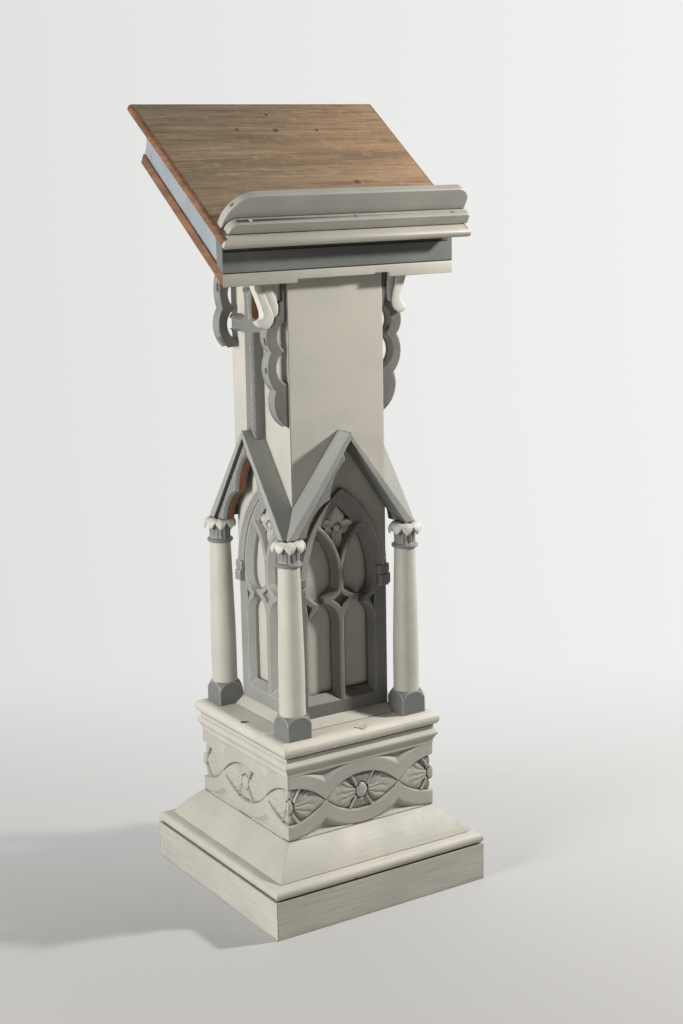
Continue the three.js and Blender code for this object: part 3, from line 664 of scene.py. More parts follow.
def window_board(index):
    piece = Piece()
    front, back = CORE, CORE - FRAME_DEPTH
    front_shapes, back_shapes = [frame_outline(front - 0.3)], [frame_outline(back - 0.3)]
    fronts = [piece.level_ring(front_shapes[0], front)]
    backs = [piece.level_ring(back_shapes[0], back)]
    piece.bridge(fronts[0], backs[0])
    light, splay = light_outline(0), light_outline(1)
    openings = [(light, splay, 0.62), (flip(light), flip(splay), 0.62),
                (kite_outline(0), kite_outline(1), 0.45)]
    for near, far, knee in openings:
        ring = piece.level_ring(near, front)
        middle = piece.level_ring(far, front - FRAME_DEPTH * knee)
        deep = piece.level_ring(far, back)
        piece.bridge(ring, middle)
        piece.bridge(middle, deep)
        fronts.append(ring)
        backs.append(deep)
        front_shapes.append(near)
        back_shapes.append(far)
    for outline in spandrel_outlines():
        ring = piece.level_ring(outline, front)
        sunk = inset(outline, 1.0)
        floor = piece.level_ring(sunk, front - SPANDREL_DEPTH)
        piece.bridge(ring, floor)
        piece.fill([floor], [sunk])
        fronts.append(ring)
        front_shapes.append(outline)
    piece.fill(fronts, front_shapes)
    piece.fill(backs, back_shapes)
    side = SIDES[index]
    add(f"window_frame_{side}", piece, window_paint(index), [f"window_tracery_{side}"],
        face_turn(index), angle=28)


def hood(index):
    """The hood mould: a strip with a hollow sloping face, swept up both sides to the apex."""
    section = [(185.5, -0.5), (185.5, 6.6), (184.6, 7.4), (183.2, 7.4), (181, 4.9), (178, 3.0),
               (175.6, 2.4), (174.6, 1.6), (174.6, -0.5)]
    rows = []
    steps = 26
    for i in range(steps + 1):
        row = []
        for radius, proud in section:
            start = math.asin(4 / radius)
            end = math.acos(-ARCH[0] / radius)
            a = start + (end - start) * i / steps
            row.append(facing(ARCH[0] + radius * math.cos(a), ARCH[1] + radius * math.sin(a), CORE + proud))
        rows.append(row)
    for row in rows[-2::-1]:
        rows.append([(-x, y, z) for x, y, z in row])
    piece = Piece()
    piece.tube(rows)
    paint, turn = window_paint(index), face_turn(index)
    add(f"hood_mould_{SIDES[index]}", piece, paint, (), turn, angle=30)
    for hand, sign in HANDS:
        stop = Piece()
        for low, high, inner, proud in STOP_BLOCKS:
            outline = [(inner, low), (CORE - 0.4, low), (CORE - 0.4, high), (inner, high)]
            stop.slabbed(outline if sign > 0 else flip(outline), facing, CORE - 0.5, CORE + proud, 1.1)
        add(f"label_stop_{SIDES[index]}_{hand}", stop, paint, (), turn, angle=30)


def lobe(u, v, centre, radii, turn=0.0):
    """1 at the middle of an oval, 0 at its rim, below 0 outside."""
    c, q = math.cos(math.radians(turn)), math.sin(math.radians(turn))
    du, dv = u - centre[0], v - centre[1]
    return 1 - math.hypot((du * c + dv * q) / radii[0], (dv * c - du * q) / radii[1])


def kite_relief(u, v):
    """Height of the carved flower at (u, v) from its boss: pointed top petal, side petals, ribbed stem."""
    height = -2.0
    if v > 2:
        half = 16.5 * math.sin(math.pi * min(1.0, v / 44 + 0.16)) if v < 42 else 0
        if abs(u) < half:
            t = abs(u) / half
            crease = 1.2 * math.exp(-(u / 1.6) ** 2)
            height = max(height, 8.6 - 4.6 * t ** 3 - crease - 0.07 * max(0, v - 20))
            height -= 0.8 * (0.5 + 0.5 * math.cos(u * 1.1 + v * 0.05)) * step(6, 14, v)
    for sign, centre, radii, turn in ((1, (18.5, 0), (15.5, 14), 8), (-1, (-19, 7.5), (12, 9), -28),
                                      (-1, (-19.5, -7), (12, 9), 24)):
        inside = lobe(u, v, centre, radii, turn)
        if inside > 0:
            spread = math.atan2(v, abs(u) + 1)
            vein = 0.9 * (0.5 + 0.5 * math.cos(13 * spread)) ** 2
            rise = 8.2 * min(1.0, inside / 0.22) ** 0.6 - 2.4 * step(0.25, 0.75, inside) - vein
            height = max(height, rise)
    if v < -4:
        half = 4.5 + 9.5 * math.exp(-((v + 16) / 16) ** 2)
        if abs(u) < half and v > -56:
            rib = 0.5 + 0.5 * math.cos(u * 2 * math.pi / (half * 0.62))
            height = max(height, 4.6 + 3.0 * rib - 2.2 * (abs(u) / half) ** 4)
    rho = math.hypot(u, v) / 6.2
    if rho < 1.35:
        height = min(height, 5.0)
    if rho < 1:
        height = 5.5 + 4.2 * math.sqrt(1 - rho * rho)
    return height


def flower_piece():
    """The carving in the kite, on a grid that fills the opening."""
    boss, base = 617, CORE - FRAME_DEPTH
    half_width, foot, tall = 40, 557, 108
    columns, rows = 96, 124
    across = [-half_width + 2 * half_width * j / columns for j in range(columns + 1)]
    places = [[(u, foot + tall * i / rows) for u in across] for i in range(rows + 1)]
    top = [[facing(u, z, base + kite_relief(u, z - boss)) for u, z in row] for row in places]
    bottom = [[facing(u, z, base - 3.5) for u, z in row] for row in places]
    piece = Piece()
    piece.thick_sheet(top, bottom)
    return piece


def kite_flower(index, piece):
    # The front flower gets a lighter white as painted light; the others get the carvings' white.
    paint = flower_pale_lit if index == 0 else carving_white_shaded["X"]
    add(f"window_flower_{SIDES[index]}", piece, paint, (), face_turn(index), angle=55)


# A lighter copy of the carvings' white for the front flower: painted light.
flower_pale_lit = painted("flower_pale_lit", (0.80, 0.735, 0.66), (0.72, 0.66, 0.59), "X", wear=0.4, grime=0.6)


# ---------- frieze ----------

FRIEZE_MIDDLE = 186                   # height of the flower centres
EYE_HALF = FRIEZE / 2                 # half the length of each lens-shaped eye: four to a face and corners
EYE_RISE = 32
EYE_RADIUS = (EYE_HALF ** 2 + EYE_RISE ** 2) / (2 * EYE_RISE)
RIBBON = 22
GROUND = 6.6


def step(low, high, x):
    t = max(0.0, min(1.0, (x - low) / (high - low)))
    return t * t * (3 - 2 * t)


def eye_edge(v, grow=0.0):
    """Height above the middle of the eye's rim, or of the ribbon's outer edge when grown."""
    radius = EYE_RADIUS + grow
    return math.sqrt(max(0.0, radius * radius - v * v)) - (EYE_RADIUS - EYE_RISE)


def flower_height(v, w):
    """Height above the sunk ground of the flower: two veined side leaves, two folded petals, a boss."""
    a, b = abs(v), abs(w)
    height = 0.0
    uneven = noise.noise((v * 0.09, w * 0.09, 5.3))
    reach = min(eye_edge(a) - 0.7, 24 * step(5, 29, a) + 0.8)
    if a > 6 and b < reach:
        t = b / max(reach, 0.1)
        crown = 4.8 - 2.4 * t ** 2.6 + 1.3 * step(45, 66, a)
        fan = math.atan2(w, a + 3)
        vein = (0.5 + 0.5 * math.cos(23 * fan + 2.2 * uneven + (0.4 if v > 0 else -0.7))) ** 2
        crown -= 1.25 * vein * step(9, 20, a) * (1 - step(40, 62, a))
        crown *= step(0, 0.12, 1 - t) * 0.4 + 0.6
        height = max(height, crown)
    lean = 1.6 * math.copysign(1, v * w)
    fold = 11.5 + lean + 12.0 * max(0.0, (b - 11) / 19)
    if b > 7 and a < fold + 3.2 and b < eye_edge(a) - 0.3:
        ridge = 6.5 * math.exp(-((a - fold + 0.4) / 2.7) ** 2)
        pleat = 3.9 - 1.0 * math.cos(a * 0.9 + uneven) ** 2 - 0.04 * max(0, b - 22) ** 2
        petal_height = max(ridge, pleat if a < fold else 0)
        height = max(height, petal_height * step(-3.2, -1.2, fold - a))
    rho = math.hypot(v / 10.6, w / 13.2)
    if rho < 1.25:
        height *= step(0.95, 1.25, rho)
    if rho < 1:
        height = max(height, 2.0 + 5.0 * math.sqrt(1 - rho ** 2.6))
    return height


def carved_depth(u, z):
    """How far the carving is sunk below the face of the board at (u, z)."""
    centre = round(u / FRIEZE) * FRIEZE
    v, w = u - centre, z - FRIEZE_MIDDLE
    b = abs(w)
    rim = eye_edge(v)
    if b < rim:
        wall = GROUND * step(0.0, 1.5, rim - b)
        wall = min(wall, max(0.0, GROUND - flower_height(v, w))) if rim - b > 0.6 else wall
        depth = min(wall, GROUND)
    else:
        near = abs(v)
        far = 2 * EYE_HALF - near
        lean = 0.80
        pits = [(b - eye_edge(near, RIBBON)) * lean, (b - eye_edge(far, RIBBON)) * lean]
        limit = (240.5 - z) if w > 0 else (z - 130.5) * 1.5
        depth = max(0.0, min(6.0, 0.78 * min(pits[0], pits[1], max(limit, 0.4))))
        if w < 0 and near < 20:
            depth = max(0.0, min(1.4, (b - eye_edge(near, RIBBON)) * 0.8))
    return max(0.0, depth)


def frieze_board():
    inner = -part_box("frieze_panel_front")[1].y / MM
    columns, rows = 340, 128
    piece = Piece()
    grid = []
    for i in range(rows + 1):
        z = FRIEZE_FOOT + (FRIEZE_TOP - FRIEZE_FOOT) * i / rows
        end = carved_depth(FRIEZE, z) + 0.7
        row = []
        for j in range(columns + 1):
            u = FRIEZE * (2 * j / columns - 1)
            depth = carved_depth(u, z)
            hand = noise.noise((u * 0.07, z * 0.07, 3.1)) * 0.22
            hand += noise.noise((u * 0.3, z * 0.3, 7.7)) * 0.08
            depth = max(0.0, depth + (abs(hand) if depth < 0.3 else hand))
            pull = step(FRIEZE - 9, FRIEZE, abs(u))
            depth += (end - depth) * pull
            row.append(facing(u - math.copysign(depth * pull, u), z, FRIEZE - depth))
        grid.append(row)
    edge = rim(piece.sheet(grid))
    outer = [piece.points[index] for index in edge]
    rear = piece.level_ring([(x / FRIEZE * inner, z) for x, _, z in outer], inner)
    piece.bridge(edge, rear)
    hub = piece.ring([facing(0, FRIEZE_MIDDLE, inner)])[0]
    for i, index in enumerate(rear):
        piece.face((index, rear[(i + 1) % len(rear)], hub))
    return piece


def friezes():
    piece = frieze_board()
    for index, side in enumerate(SIDES):
        add(f"frieze_carving_{side}", piece, carving_white_shaded["XY"[index % 2]],
            [f"frieze_panel_{side}"], face_turn(index), angle=50)


# The carvings' off-white is darkened to 0.86 of the off-white, as painted shade.
carving_white_shaded = {axis: off_white("carving_white_shaded_" + axis, axis, 0.86, wear=0.35, grime=1.0, streak=0.25,
                                 scuffs=0.3) for axis in "XY"}


# ---------- columns ----------

def column_turn(sx, sy):
    return Matrix.Translation((sx * COLUMN_CENTRE * MM, sy * COLUMN_CENTRE * MM, 0))


def column(name, turn):
    """A square block whose top is weathered off towards the corners, and a shaft with a slight swelling."""
    half = (COLUMN[1].x - COLUMN[0].x) / 2 / MM
    foot, shoulder = SLAB_TOP + 0.3, 331.5
    steps, seat = 28, 22.5
    rows = []
    for i in range(steps + 1):
        row = []
        for j in range(steps + 1):
            x, y = half * (2 * i / steps - 1), half * (2 * j / steps - 1)
            drop = max(0, math.hypot(x, y) - seat)
            row.append((x, y, shoulder - 0.7 * drop - 0.10 * drop ** 2))
        rows.append(row)
    block = Piece()
    block.thick_sheet(rows, [[(x, y, foot) for x, y, _ in row] for row in rows])
    add(f"column_block_{name}", block, block_grey, (f"column_{name}",), turn, angle=25)
    shaft = Piece()
    profile = [(0, shoulder - 3), (21.5, shoulder - 3), (21.5, shoulder + 0.5), (21.3, 345), (21.4, 380),
               (21.2, 420), (20.4, 460), (19.4, 500), (18.4, 540), (17.6, COLUMN_TOP), (0, COLUMN_TOP)]
    shaft.lathe(profile, 72)
    add(f"column_shaft_{name}", shaft, white["Z"], (), turn, angle=40)


def capital(name, turn):
    """A ring, a fluted bell and eight leaves that curl over at their tips."""
    low = COLUMN_TOP + 0.3
    flutes, flute_depth = 16, 1.9

    def fluted(r, z, a):
        depth = flute_depth if low + 7.5 < z < CAPITAL_TOP - 12 else 0
        return r - depth * (0.5 - 0.5 * math.cos(flutes * a)) ** 0.7

    bell = Piece()
    ring = [(19.2 + 2.6 * math.cos(a), low + 3.4 + 3.2 * math.sin(a))
            for a in (math.radians(d) for d in range(-90, 91, 18))]
    cup = [(17.4, 7), (17.6, 8), (17.8, 14), (18.3, 22), (19.5, 29), (21, 33), (20, 38), (0, 38)]
    profile = [(0, low), (18, low)] + ring + [(r, low + up) for r, up in cup]
    bell.lathe(profile, 192, fluted)
    add(f"capital_bell_{name}", bell, block_grey, (f"capital_{name}",), turn, angle=40)
    leaves = Piece()
    for k in range(LEAVES):
        capital_leaf(leaves, TAU * (k + 0.5) / LEAVES, low)
    add(f"capital_leaves_{name}", leaves, leaf_white, (), turn, angle=50)


LEAVES = 8
# The leaf's rib from root to tip: (distance from the column's axis, height above its neck, half width).
LEAF_PATH = [(5, 40.6, 3.2), (12, 42.3, 5.8), (18, 42.6, 8.2), (22.5, 41.0, 9.9), (25.6, 37.8, 9.3),
             (27.4, 33.8, 7.0), (28.0, 29.8, 3.8), (27.4, 26.4, 0.25)]


def capital_leaf(piece, angle, low):
    """A broad diamond with a raised rib, running out from the top's middle and drooping to a point."""
    hand = noise.noise((math.cos(angle) * 3, math.sin(angle) * 3, 1.7))
    c, q = math.cos(angle + 0.05 * hand), math.sin(angle + 0.05 * hand)
    top, under = [], []
    for i in range(29):
        place = i / 4
        k = min(int(place), len(LEAF_PATH) - 2)
        blend = place - k
        r, z, half = (a + (b - a) * blend for a, b in zip(LEAF_PATH[k], LEAF_PATH[k + 1]))
        z += low + 0.8 * hand
        upper_row, lower_row = [], []
        for j in range(11):
            t = j / 5 - 1
            sink = 2.6 * abs(t) ** 1.3
            across = half * t
            for row, gap in ((upper_row, 0.0), (lower_row, 2.2)):
                lean = r - 0.5 * sink - gap
                row.append((lean * c - across * q, lean * q + across * c, z - 0.8 * sink - gap * 0.9))
        top.append(upper_row)
        under.append(lower_row)
    piece.thick_sheet(top, under)


block_grey = painted("block_grey", (0.165, 0.175, 0.17), (0.205, 0.215, 0.205), "Z", wear=1.4, scuffs=1.0,
                     edge_width=0.0035, worn_to=(0.55, 0.52, 0.46))
# Dark paint for the leaf core: painted shade in the gaps between the lobes.
leaf_gap_shade = painted("leaf_gap_shade", (0.16, 0.14, 0.11), (0.22, 0.20, 0.16), "Z", grime=0.9)
leaf_white = painted("leaf_white", (0.66, 0.635, 0.575), (0.58, 0.56, 0.51), "Z", wear=0.3, grime=0.7)


# ---------- gables ----------

GABLE_PITCH = 1.335                   # fall of the roof's top for each unit across
UNDER_PITCH = 1.42                    # fall of its underside
RIDGE_UPRIGHT = 12.3                  # from the ridge straight down to the bargeboards' upper edge
SLOPE = math.hypot(1, UNDER_PITCH)
CROWN, CUSP, BARGE_FOOT = (0.3, 737), (35, 672.5), (80.5, ROOF_FOOT)
BARGE_BOARD = 21


def soffit(u, below=0.0):
    """Height of the roof's underside, or of a line `below` it measured square to the slope."""
    return GABLE_APEX - RIDGE_UPRIGHT - UNDER_PITCH * u - below * SLOPE


def soffit_foot(below=0.0):
    return (GABLE_APEX - RIDGE_UPRIGHT - below * SLOPE - ROOF_FOOT) / UNDER_PITCH


def bargeboard(index, hand, sign):
    """A cusped board, round-chamfered inside and, but for the front one, with a bead between two quirks."""
    side = SIDES[index]
    plain = side == "front"
    strip = 0.0 if plain else 6.6
    inner = join(bow(CROWN, CUSP, 9, 14), bow(CUSP, BARGE_FOOT, 10, 12))
    low, high = (soffit_foot(strip), ROOF_FOOT), (0.3, soffit(0.3, strip))
    if plain:
        inner = [p for p in inner if p[0] > 2.6]
        high = (12.5, soffit(12.5))
    outline = join(inner, [low, high])
    count = len(inner)
    piece = Piece()

    def place(u, z, out):
        return facing(sign * u, z, out)

    def section(out, cut):
        points = inset(outline, cut)[:count] + [low, high]
        points[0] = (max(points[0][0], 0.3), outline[0][1] + cut)
        points[count - 1] = (inner[-1][0] + cut, ROOF_FOOT)
        return piece.ring([place(*p, out) for p in points]), points

    back, front = BARGE_FRONT - BARGE_BOARD, BARGE_FRONT
    layers = [(back, 0.0, 2), (back + 4.5, 0.0, 1), (front - 7, 0.0, 0), (front - 3.2, 1.1, 0),
              (front, 3.0, 0)]
    rings = [(*section(out, cut), slot) for out, cut, slot in layers]
    for (a, _, slot), (b, _, _) in zip(rings, rings[1:]):
        for i in range(len(a)):
            j = (i + 1) % len(a)
            piece.face((a[i], a[j], b[j], b[i]), slot if i < count - 1 else 0)
    for (ring, points, _), slot in ((rings[0], 2), (rings[-1], 0)):
        piece.fill([ring], [points], slot)

    def strip_outline(under, over):
        return [(0.3, soffit(0.3, under)), (soffit_foot(under), ROOF_FOOT), (soffit_foot(over), ROOF_FOOT),
                (0.3, soffit(0.3, over))]

    if strip:
        piece.slabbed(strip_outline(strip, 0.0), place, back, front - 4.5)
        piece.slabbed(strip_outline(5.0, 2.2), place, front - 6, front - 0.4, 0.9)
    add(f"cusped_board_{side}_{hand}", piece, (barge_grey, red_timber, bare_back),
        [f"bargeboard_{side}_{hand}"], face_turn(index), angle=30)


barge_grey = painted("barge_grey", (0.225, 0.24, 0.235), (0.265, 0.28, 0.27), "Z", wear=0.9,
                     worn_to=LIGHT_WEAR, edge_width=0.0025)


# ---------- cross ----------

def cross():
    low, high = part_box("cross")
    depth_back, depth_front = -high.x / MM, -low.x / MM
    middle, top = 945, high.z / MM
    half, waist, flare, tip = 12, 9, 14.5, high.y / MM
    right = join(
        [(0, GABLE_APEX + 0.6), (half, GABLE_APEX - GABLE_PITCH * half + 0.6), (half, middle - 14)],
        bow((half, middle - 14), (tip, middle - flare), 4, 8),
        [(tip - 7, middle), (tip, middle + flare)],
        bow((tip, middle + flare), (waist + 2, middle + 13), 4, 8),
        bow((waist + 2, middle + 13), (flare, top), 3, 8),
        [(0, top - 7)],
    )
    outline = right + flip(right)[1:-1]
    piece = Piece()
    piece.slabbed(outline, facing, depth_back, depth_front, 4.2)

    def thickness_face(p, normal):
        return abs(normal.y) < 0.1 and -p.y < depth_front - 4.3

    def bare(p, normal):
        upper = p.x > 0 and middle + 10 < p.z < top - 2
        underside = p.x > half and p.z < middle - 8
        return thickness_face(p, normal) and (upper or underside)

    piece.repaint(1, bare)
    add("altar_cross", piece, (cross_grey, red_timber), ["cross"], face_turn(3), angle=30,
        bevel=0.5)


cross_grey = painted("cross_grey", (0.185, 0.186, 0.172), (0.225, 0.226, 0.208), "Z", wear=1.0,
                     worn_to=LIGHT_WEAR, edge_width=0.0025)


# ---------- brackets and their carved leaves ----------

DESK_ANGLE = math.radians(35.5)
DESK_FRONT, DESK_FOOT = -110.2, 1016.1
EAVES = 0.35
NOTCH = {"left": 911, "right": 923}   # height of the notch between the front brackets' lobes
BACK_NOTCH = 967
BRACKET_NEAR, BRACKET_FAR = 66.5, 86.5
LEAF_SEAT = [(34, 34.5), (28, 37), (21, 45), (18, 53.5), (13.5, 56.5), (11.5, 64), (12, 74), (7, 76),
             (5.5, 82), (7, 89), (7, 150)]


def desk_underside(y):
    return DESK_FOOT + math.tan(DESK_ANGLE) * (y - DESK_FRONT)


def standing_out(sx, notch):
    """Places (distance from the shaft, height above the notch, y), cut off under the desk."""
    def place(out, up, y):
        return (sx * (CORE + out), y, min(notch + up, desk_underside(y) - EAVES))
    return place


def bracket_outline(front, lowest):
    wall, crown = 0.4, 260
    if front:
        seat = [(out - 0.6, up - 0.6) for out, up in reversed(LEAF_SEAT)]
        outer = join([(seat[0][0], crown)], seat, bow(seat[-1], (26, 0), 5, 8))
    else:
        outer = join([(27, crown)], bow((27, 128), (25, 62), 8, 10), bow((25, 62), (26, 0), 5, 8))
    outer = join(outer, bow((26, 0), (19.5, -61), 11, 12))
    if lowest:
        outer = join(outer, bow((19.5, -61), (wall, -120), 12, 10), bow((wall, -56), (9, 0), -18, 10))
    else:
        outer = join(outer, [(wall, -59)], bow((wall, -56), (9, 0), -18, 10)[1:])
    return join(outer, bow((9, 0), (wall, 50), -15, 10), [(wall, crown)])


def bracket(depth, hand, sx, sy):
    front = depth == "front"
    outline = bracket_outline(front, front or hand == "right")
    place = standing_out(sx, NOTCH[hand] if front else BACK_NOTCH)
    piece = Piece()
    middle = (BRACKET_NEAR + BRACKET_FAR) / 2
    for face in (BRACKET_FAR, BRACKET_NEAR):
        piece.slabbed(outline, place, sy * middle, sy * face, 2.2)
    # The broad faces get the darker grey as painted shade; the edges keep the lighter grey.
    piece.repaint(1, lambda p, normal: abs(normal.y) > 0.95)
    name = f"{depth}_{hand}"
    add(f"scalloped_bracket_{name}", piece, (bracket_grey, bracket_face_shade), [f"bracket_{name}"],
        angle=30)


# Each leaf's three lobes as (distance from the shaft, height above the notch), the longest one first.
LEAF_LOBES = {
    "left": (
        [(66, 150), (58, 100), (51.9, 86), (46, 71), (42.8, 60), (43.3, 53.5), (47, 49.8), (54, 47.4),
         (51, 42.4), (45, 38), (40, 37), (35, 39.8), (30.5, 45.5), (28, 53), (29.5, 58), (32.4, 65.5),
         (37.4, 76), (42.6, 88), (46.7, 98), (54, 150)],
        [(53, 150), (45, 98), (40, 88), (35.5, 78), (30.5, 67), (27, 57), (24, 54.6), (21, 55), (17.5, 60),
         (17, 69.5), (20.5, 79), (24.5, 90), (34, 150)],
        [(33, 150), (23, 92), (19.5, 82), (16.5, 77), (12, 77), (9, 79.5), (8, 83.5), (9.5, 88), (15, 150)],
    ),
    "right": (
        [(54, 150), (44.5, 100), (40.5, 88), (35, 74), (30.6, 62), (31, 55), (35.5, 48), (42, 43.2),
         (40.3, 39.3), (35.5, 36.2), (29.5, 35.2), (24, 39), (19.8, 46), (18.4, 54), (20.5, 66), (24, 78),
         (28, 100), (34, 150)],
        [(33, 150), (26, 100), (22, 78), (18.6, 62), (17.6, 56), (15, 54.2), (12.2, 57), (11, 64),
         (11.6, 80), (13, 100), (17, 150)],
        [(16, 150), (11.4, 100), (9.8, 84), (8, 76), (5.6, 75.6), (4, 79), (3.8, 150)],
    ),
}


LOBE_DEPTHS = ((-75, -92.6, 1.8), (-72, -87.5, 1.8), (-69, -83.5, 1.7))     # back, face, chamfer
# The core, painted dark as the shade that shows between the lobes.
LEAF_CORE = [(50, 150), (40, 104), (30, 70), (26, 58), (18, 60), (11, 82), (10, 150)]


def scroll_leaf(hand, sx):
    """Three lobes stepped back towards the shaft, the longest curling outwards at its tip."""
    place = standing_out(sx, NOTCH[hand])
    piece = Piece()
    for outline, (near, far, chamfer) in zip(LEAF_LOBES[hand], LOBE_DEPTHS):
        dense = []
        for p, q in zip(outline, outline[1:] + outline[:1]):
            dense += bow(p, q, 0, max(1, round(math.dist(p, q) / 6)))[:-1]
        piece.slabbed(dense, place, near, far, chamfer)
    piece.slabbed(LEAF_CORE, place, -70, -78, 0, 1)
    add(f"carved_leaf_{hand}", piece, (leaf_white, leaf_gap_shade), [f"leaf_{hand}"],
        angle=45, bevel=0.9)


# A darker grey for the brackets' broad faces: painted shade.
bracket_face_shade = painted("bracket_face_shade", (0.15, 0.145, 0.13), (0.20, 0.195, 0.175), "Z", wear=0.9, scuffs=1.0,
                       worn_to=(0.30, 0.27, 0.23), edge_width=0.0025)
bracket_grey = painted("bracket_grey", (0.235, 0.245, 0.225), (0.30, 0.31, 0.29), "Z", wear=1.0, scuffs=1.0)


# ---------- desk ----------

TOP_NAILS = [(4, 334), (-70, 293), (0, 289), (77.8, 288.6), (79.7, 147)]
NAIL_STAINS = (0.0035, 0.0035, 0.0055, 0.0030, 0.0060)
BOX_HALF, BOX_LENGTH, BOX_BOARD, RAIL_TOP = 211, 316, 16, 61
RAIL_COVE, COVE_SAG = 3.5, 5          # how the side rails curve in towards the foot
TOP_HALF, TOP_FRONT, TOP_BACK = 225, 9, 365
TOP_FLARE = 5.5                       # the reading board widens this much on each side by the back
# How deep the bottom board's front edge is cut back, at places along it.
FOOT_CUTS = ((-82, 0), (-81, 4.6), (60, 4.6), (61, 6.2), (88, 6.2), (89, 0))
EDGE_RADIUS = 7.5                     # of the reading board's half-round edges
NOSE_LENGTH = 26.9                    # the painted part of the board, from its front edge
TOP_FACE = 76                         # the reading board's upper face, from the desk's underside
REST_FOOT = 76.3
SCREWS = [(9, 36, 94.8), (192, 35, 94.8)]
PLUG = (-176, 36, 94.8)
HOLE_HEIGHT = 42.2                    # of the nail holes along the left rail
HOLE_PROUD = 0.35                     # their heads stand this far clear of the rail's true curve
RAIL_HOLES = (293, 235, 206, 176, 148, 121, 93, 66, 39)
DESK_TURN = (Matrix.Translation((0, DESK_FRONT * MM, DESK_FOOT * MM))
             @ Matrix.Rotation(DESK_ANGLE, 4, "X"))


def bottom_board():
    """The painted front edge is cut back a little over the shaft; the sawn ends are bare."""
    piece = Piece()
    lean = math.tan(DESK_ANGLE)
    rows = []
    for x, cut in ((-BOX_HALF, 0), *FOOT_CUTS, (BOX_HALF, 0)):
        section = [(cut * lean, cut), (15, 0), (BOX_LENGTH, 0), (BOX_LENGTH, BOX_BOARD),
                   (BOX_BOARD * lean, BOX_BOARD)]
        rows.append([(x, s, t) for s, t in section])
    piece.tube(rows, 1)
    piece.repaint(1, lambda p, normal: p.z > BOX_BOARD - 0.1)
    add("desk_floor_board", piece, (nose_white, edge_timber), ["desk_bottom_board"],
        DESK_TURN, angle=30, bevel=0.7)


def top_board():
    """Brown board with half-round edges; its front nose, up to the book rest, is painted."""
    piece = Piece()
    front, back, r = TOP_FRONT, TOP_BACK, EDGE_RADIUS
    middle = RAIL_TOP + r
    steps = 12
    stations = [(front + r * (1 - math.cos(math.radians(a))), r * math.sin(math.radians(a)))
                for a in (12, 30, 50, 70, 90)]
    stations += [(s, r) for s in (22, 27, 28, 60, 120, 180, 240, 300, back - 1.2)] + [(back, r - 0.9)]
    rings = []
    for s, h in stations:
        right = []
        half = TOP_HALF + TOP_FLARE * (s - front) / (back - front)
        for i in range(steps + 1):
            t = -h + 2 * h * i / steps
            right.append((half - r + math.sqrt(max(0.0, r * r - t * t)), s, middle + t))
        left = [(-x, s, t) for x, s, t in reversed(right)]
        rings.append(piece.ring(right + left))
    for (s, _), a, b in zip(stations, rings, rings[1:]):
        count = len(a)
        for i in range(count):
            j = (i + 1) % count
            edge = i % (steps + 1) < steps and s > 15
            piece.face((a[i], a[j], b[j], b[i]), 2 if edge else int(s >= NOSE_LENGTH))
    piece.face(rings[0], 0)
    piece.face(rings[-1], 2)
    add("desk_reading_board", piece, (nose_white, desk_timber, edge_timber),
        ["desk_top_board"], DESK_TURN, angle=45)


def rest_board(name, node, front, thickness, top, ends, radii, chamfer):
    """One board of the book rest, its upper corners rounded; ends and radii are for left and right."""
    (left, right), (left_radius, right_radius) = ends, radii
    outline = join(
        [(left, REST_FOOT), (right, REST_FOOT)],
        arc((right - right_radius, top - right_radius), right_radius, 0, 90, 16),
        arc((left + left_radius, top - left_radius), left_radius, 90, 180, 20),
    )
    piece = Piece()
    middle = front + thickness / 2
    for far in (front, front + thickness):
        piece.slabbed(outline, lambda x, t, s: (x, s, t), middle, far, chamfer)
    add(name, piece, rest_white, [node], DESK_TURN, angle=28)


def studs(name, places, radius, height, material, turn=DESK_TURN):
    """Small round heads, or holes drawn as dark discs of painted shade, each standing at (x, y, z) of the
    turned frame along its own z.
    """
    piece = Piece()
    profile = [(0, -0.6), (radius, -0.6), (radius, height * 0.5), (radius * 0.7, height), (0, height)]
    for x, y, z in places:
        head = Piece()
        head.lathe(profile, 14)
        start = len(piece.points)
        piece.points += [(x + a, y + b, z + c) for a, b, c in head.points]
        for face in head.faces:
            piece.face([start + i for i in face])
    add(name, piece, material, (), turn, angle=40)


def desk_fixings():
    studs("top_nail_holes", [(x, s, TOP_FACE) for x, s in TOP_NAILS], 1.9, 0.12, hole_shade)
    studs("rest_screws", SCREWS, 3.1, 0.35, iron)
    studs("rest_plug", [PLUG], 3.4, 0.3, leaf_white)
    studs("rest_screw_slots", [(x, s, t + 0.3) for x, s, t in SCREWS], 1.1, 0.15, pale_iron)
    cove = bow((BOX_HALF - RAIL_COVE, BOX_BOARD), (BOX_HALF, RAIL_TOP), COVE_SAG, 24)
    face = min(cove, key=lambda p: abs(p[1] - HOLE_HEIGHT))[0] + HOLE_PROUD
    sideways = Matrix.Translation((-face * MM, 0, 0)) @ Matrix.Rotation(-math.pi / 2, 4, "Y")
    studs("rail_nail_holes_left", [(HOLE_HEIGHT, s, 0) for s in RAIL_HOLES], 1.2, 0.15, hole_shade,
          DESK_TURN @ sideways)


def desk_joint_shades():
    """Painted shade: dark strips in the open joints above and below the front rail, and a dark fillet under
    the reading board.
    """
    piece = Piece()
    front = -DESK_FRONT + 0.35
    left = -BOX_HALF + 1

    def bar(right, low, high, slot, proud=0.0):
        low, high = foot + low, foot + high
        outline = [(left, low), (right - (high - low) * 0.9, low), (right, high), (left, high)]
        piece.slabbed(outline, facing, front - 1.5, front + proud, 0, slot)

    foot = DESK_FOOT + BOX_BOARD / math.cos(DESK_ANGLE)
    bar(BOX_HALF - 1, 0, 1.5, 0)
    bar(BOX_HALF - 9, 31.5, 33.4, 0, 0.2)
    bar(BOX_HALF - 1, 33.4, 43, 1)
    add("desk_front_joint_shades", piece, (joint_gap_shade, fillet_shade_brown), (), angle=30)
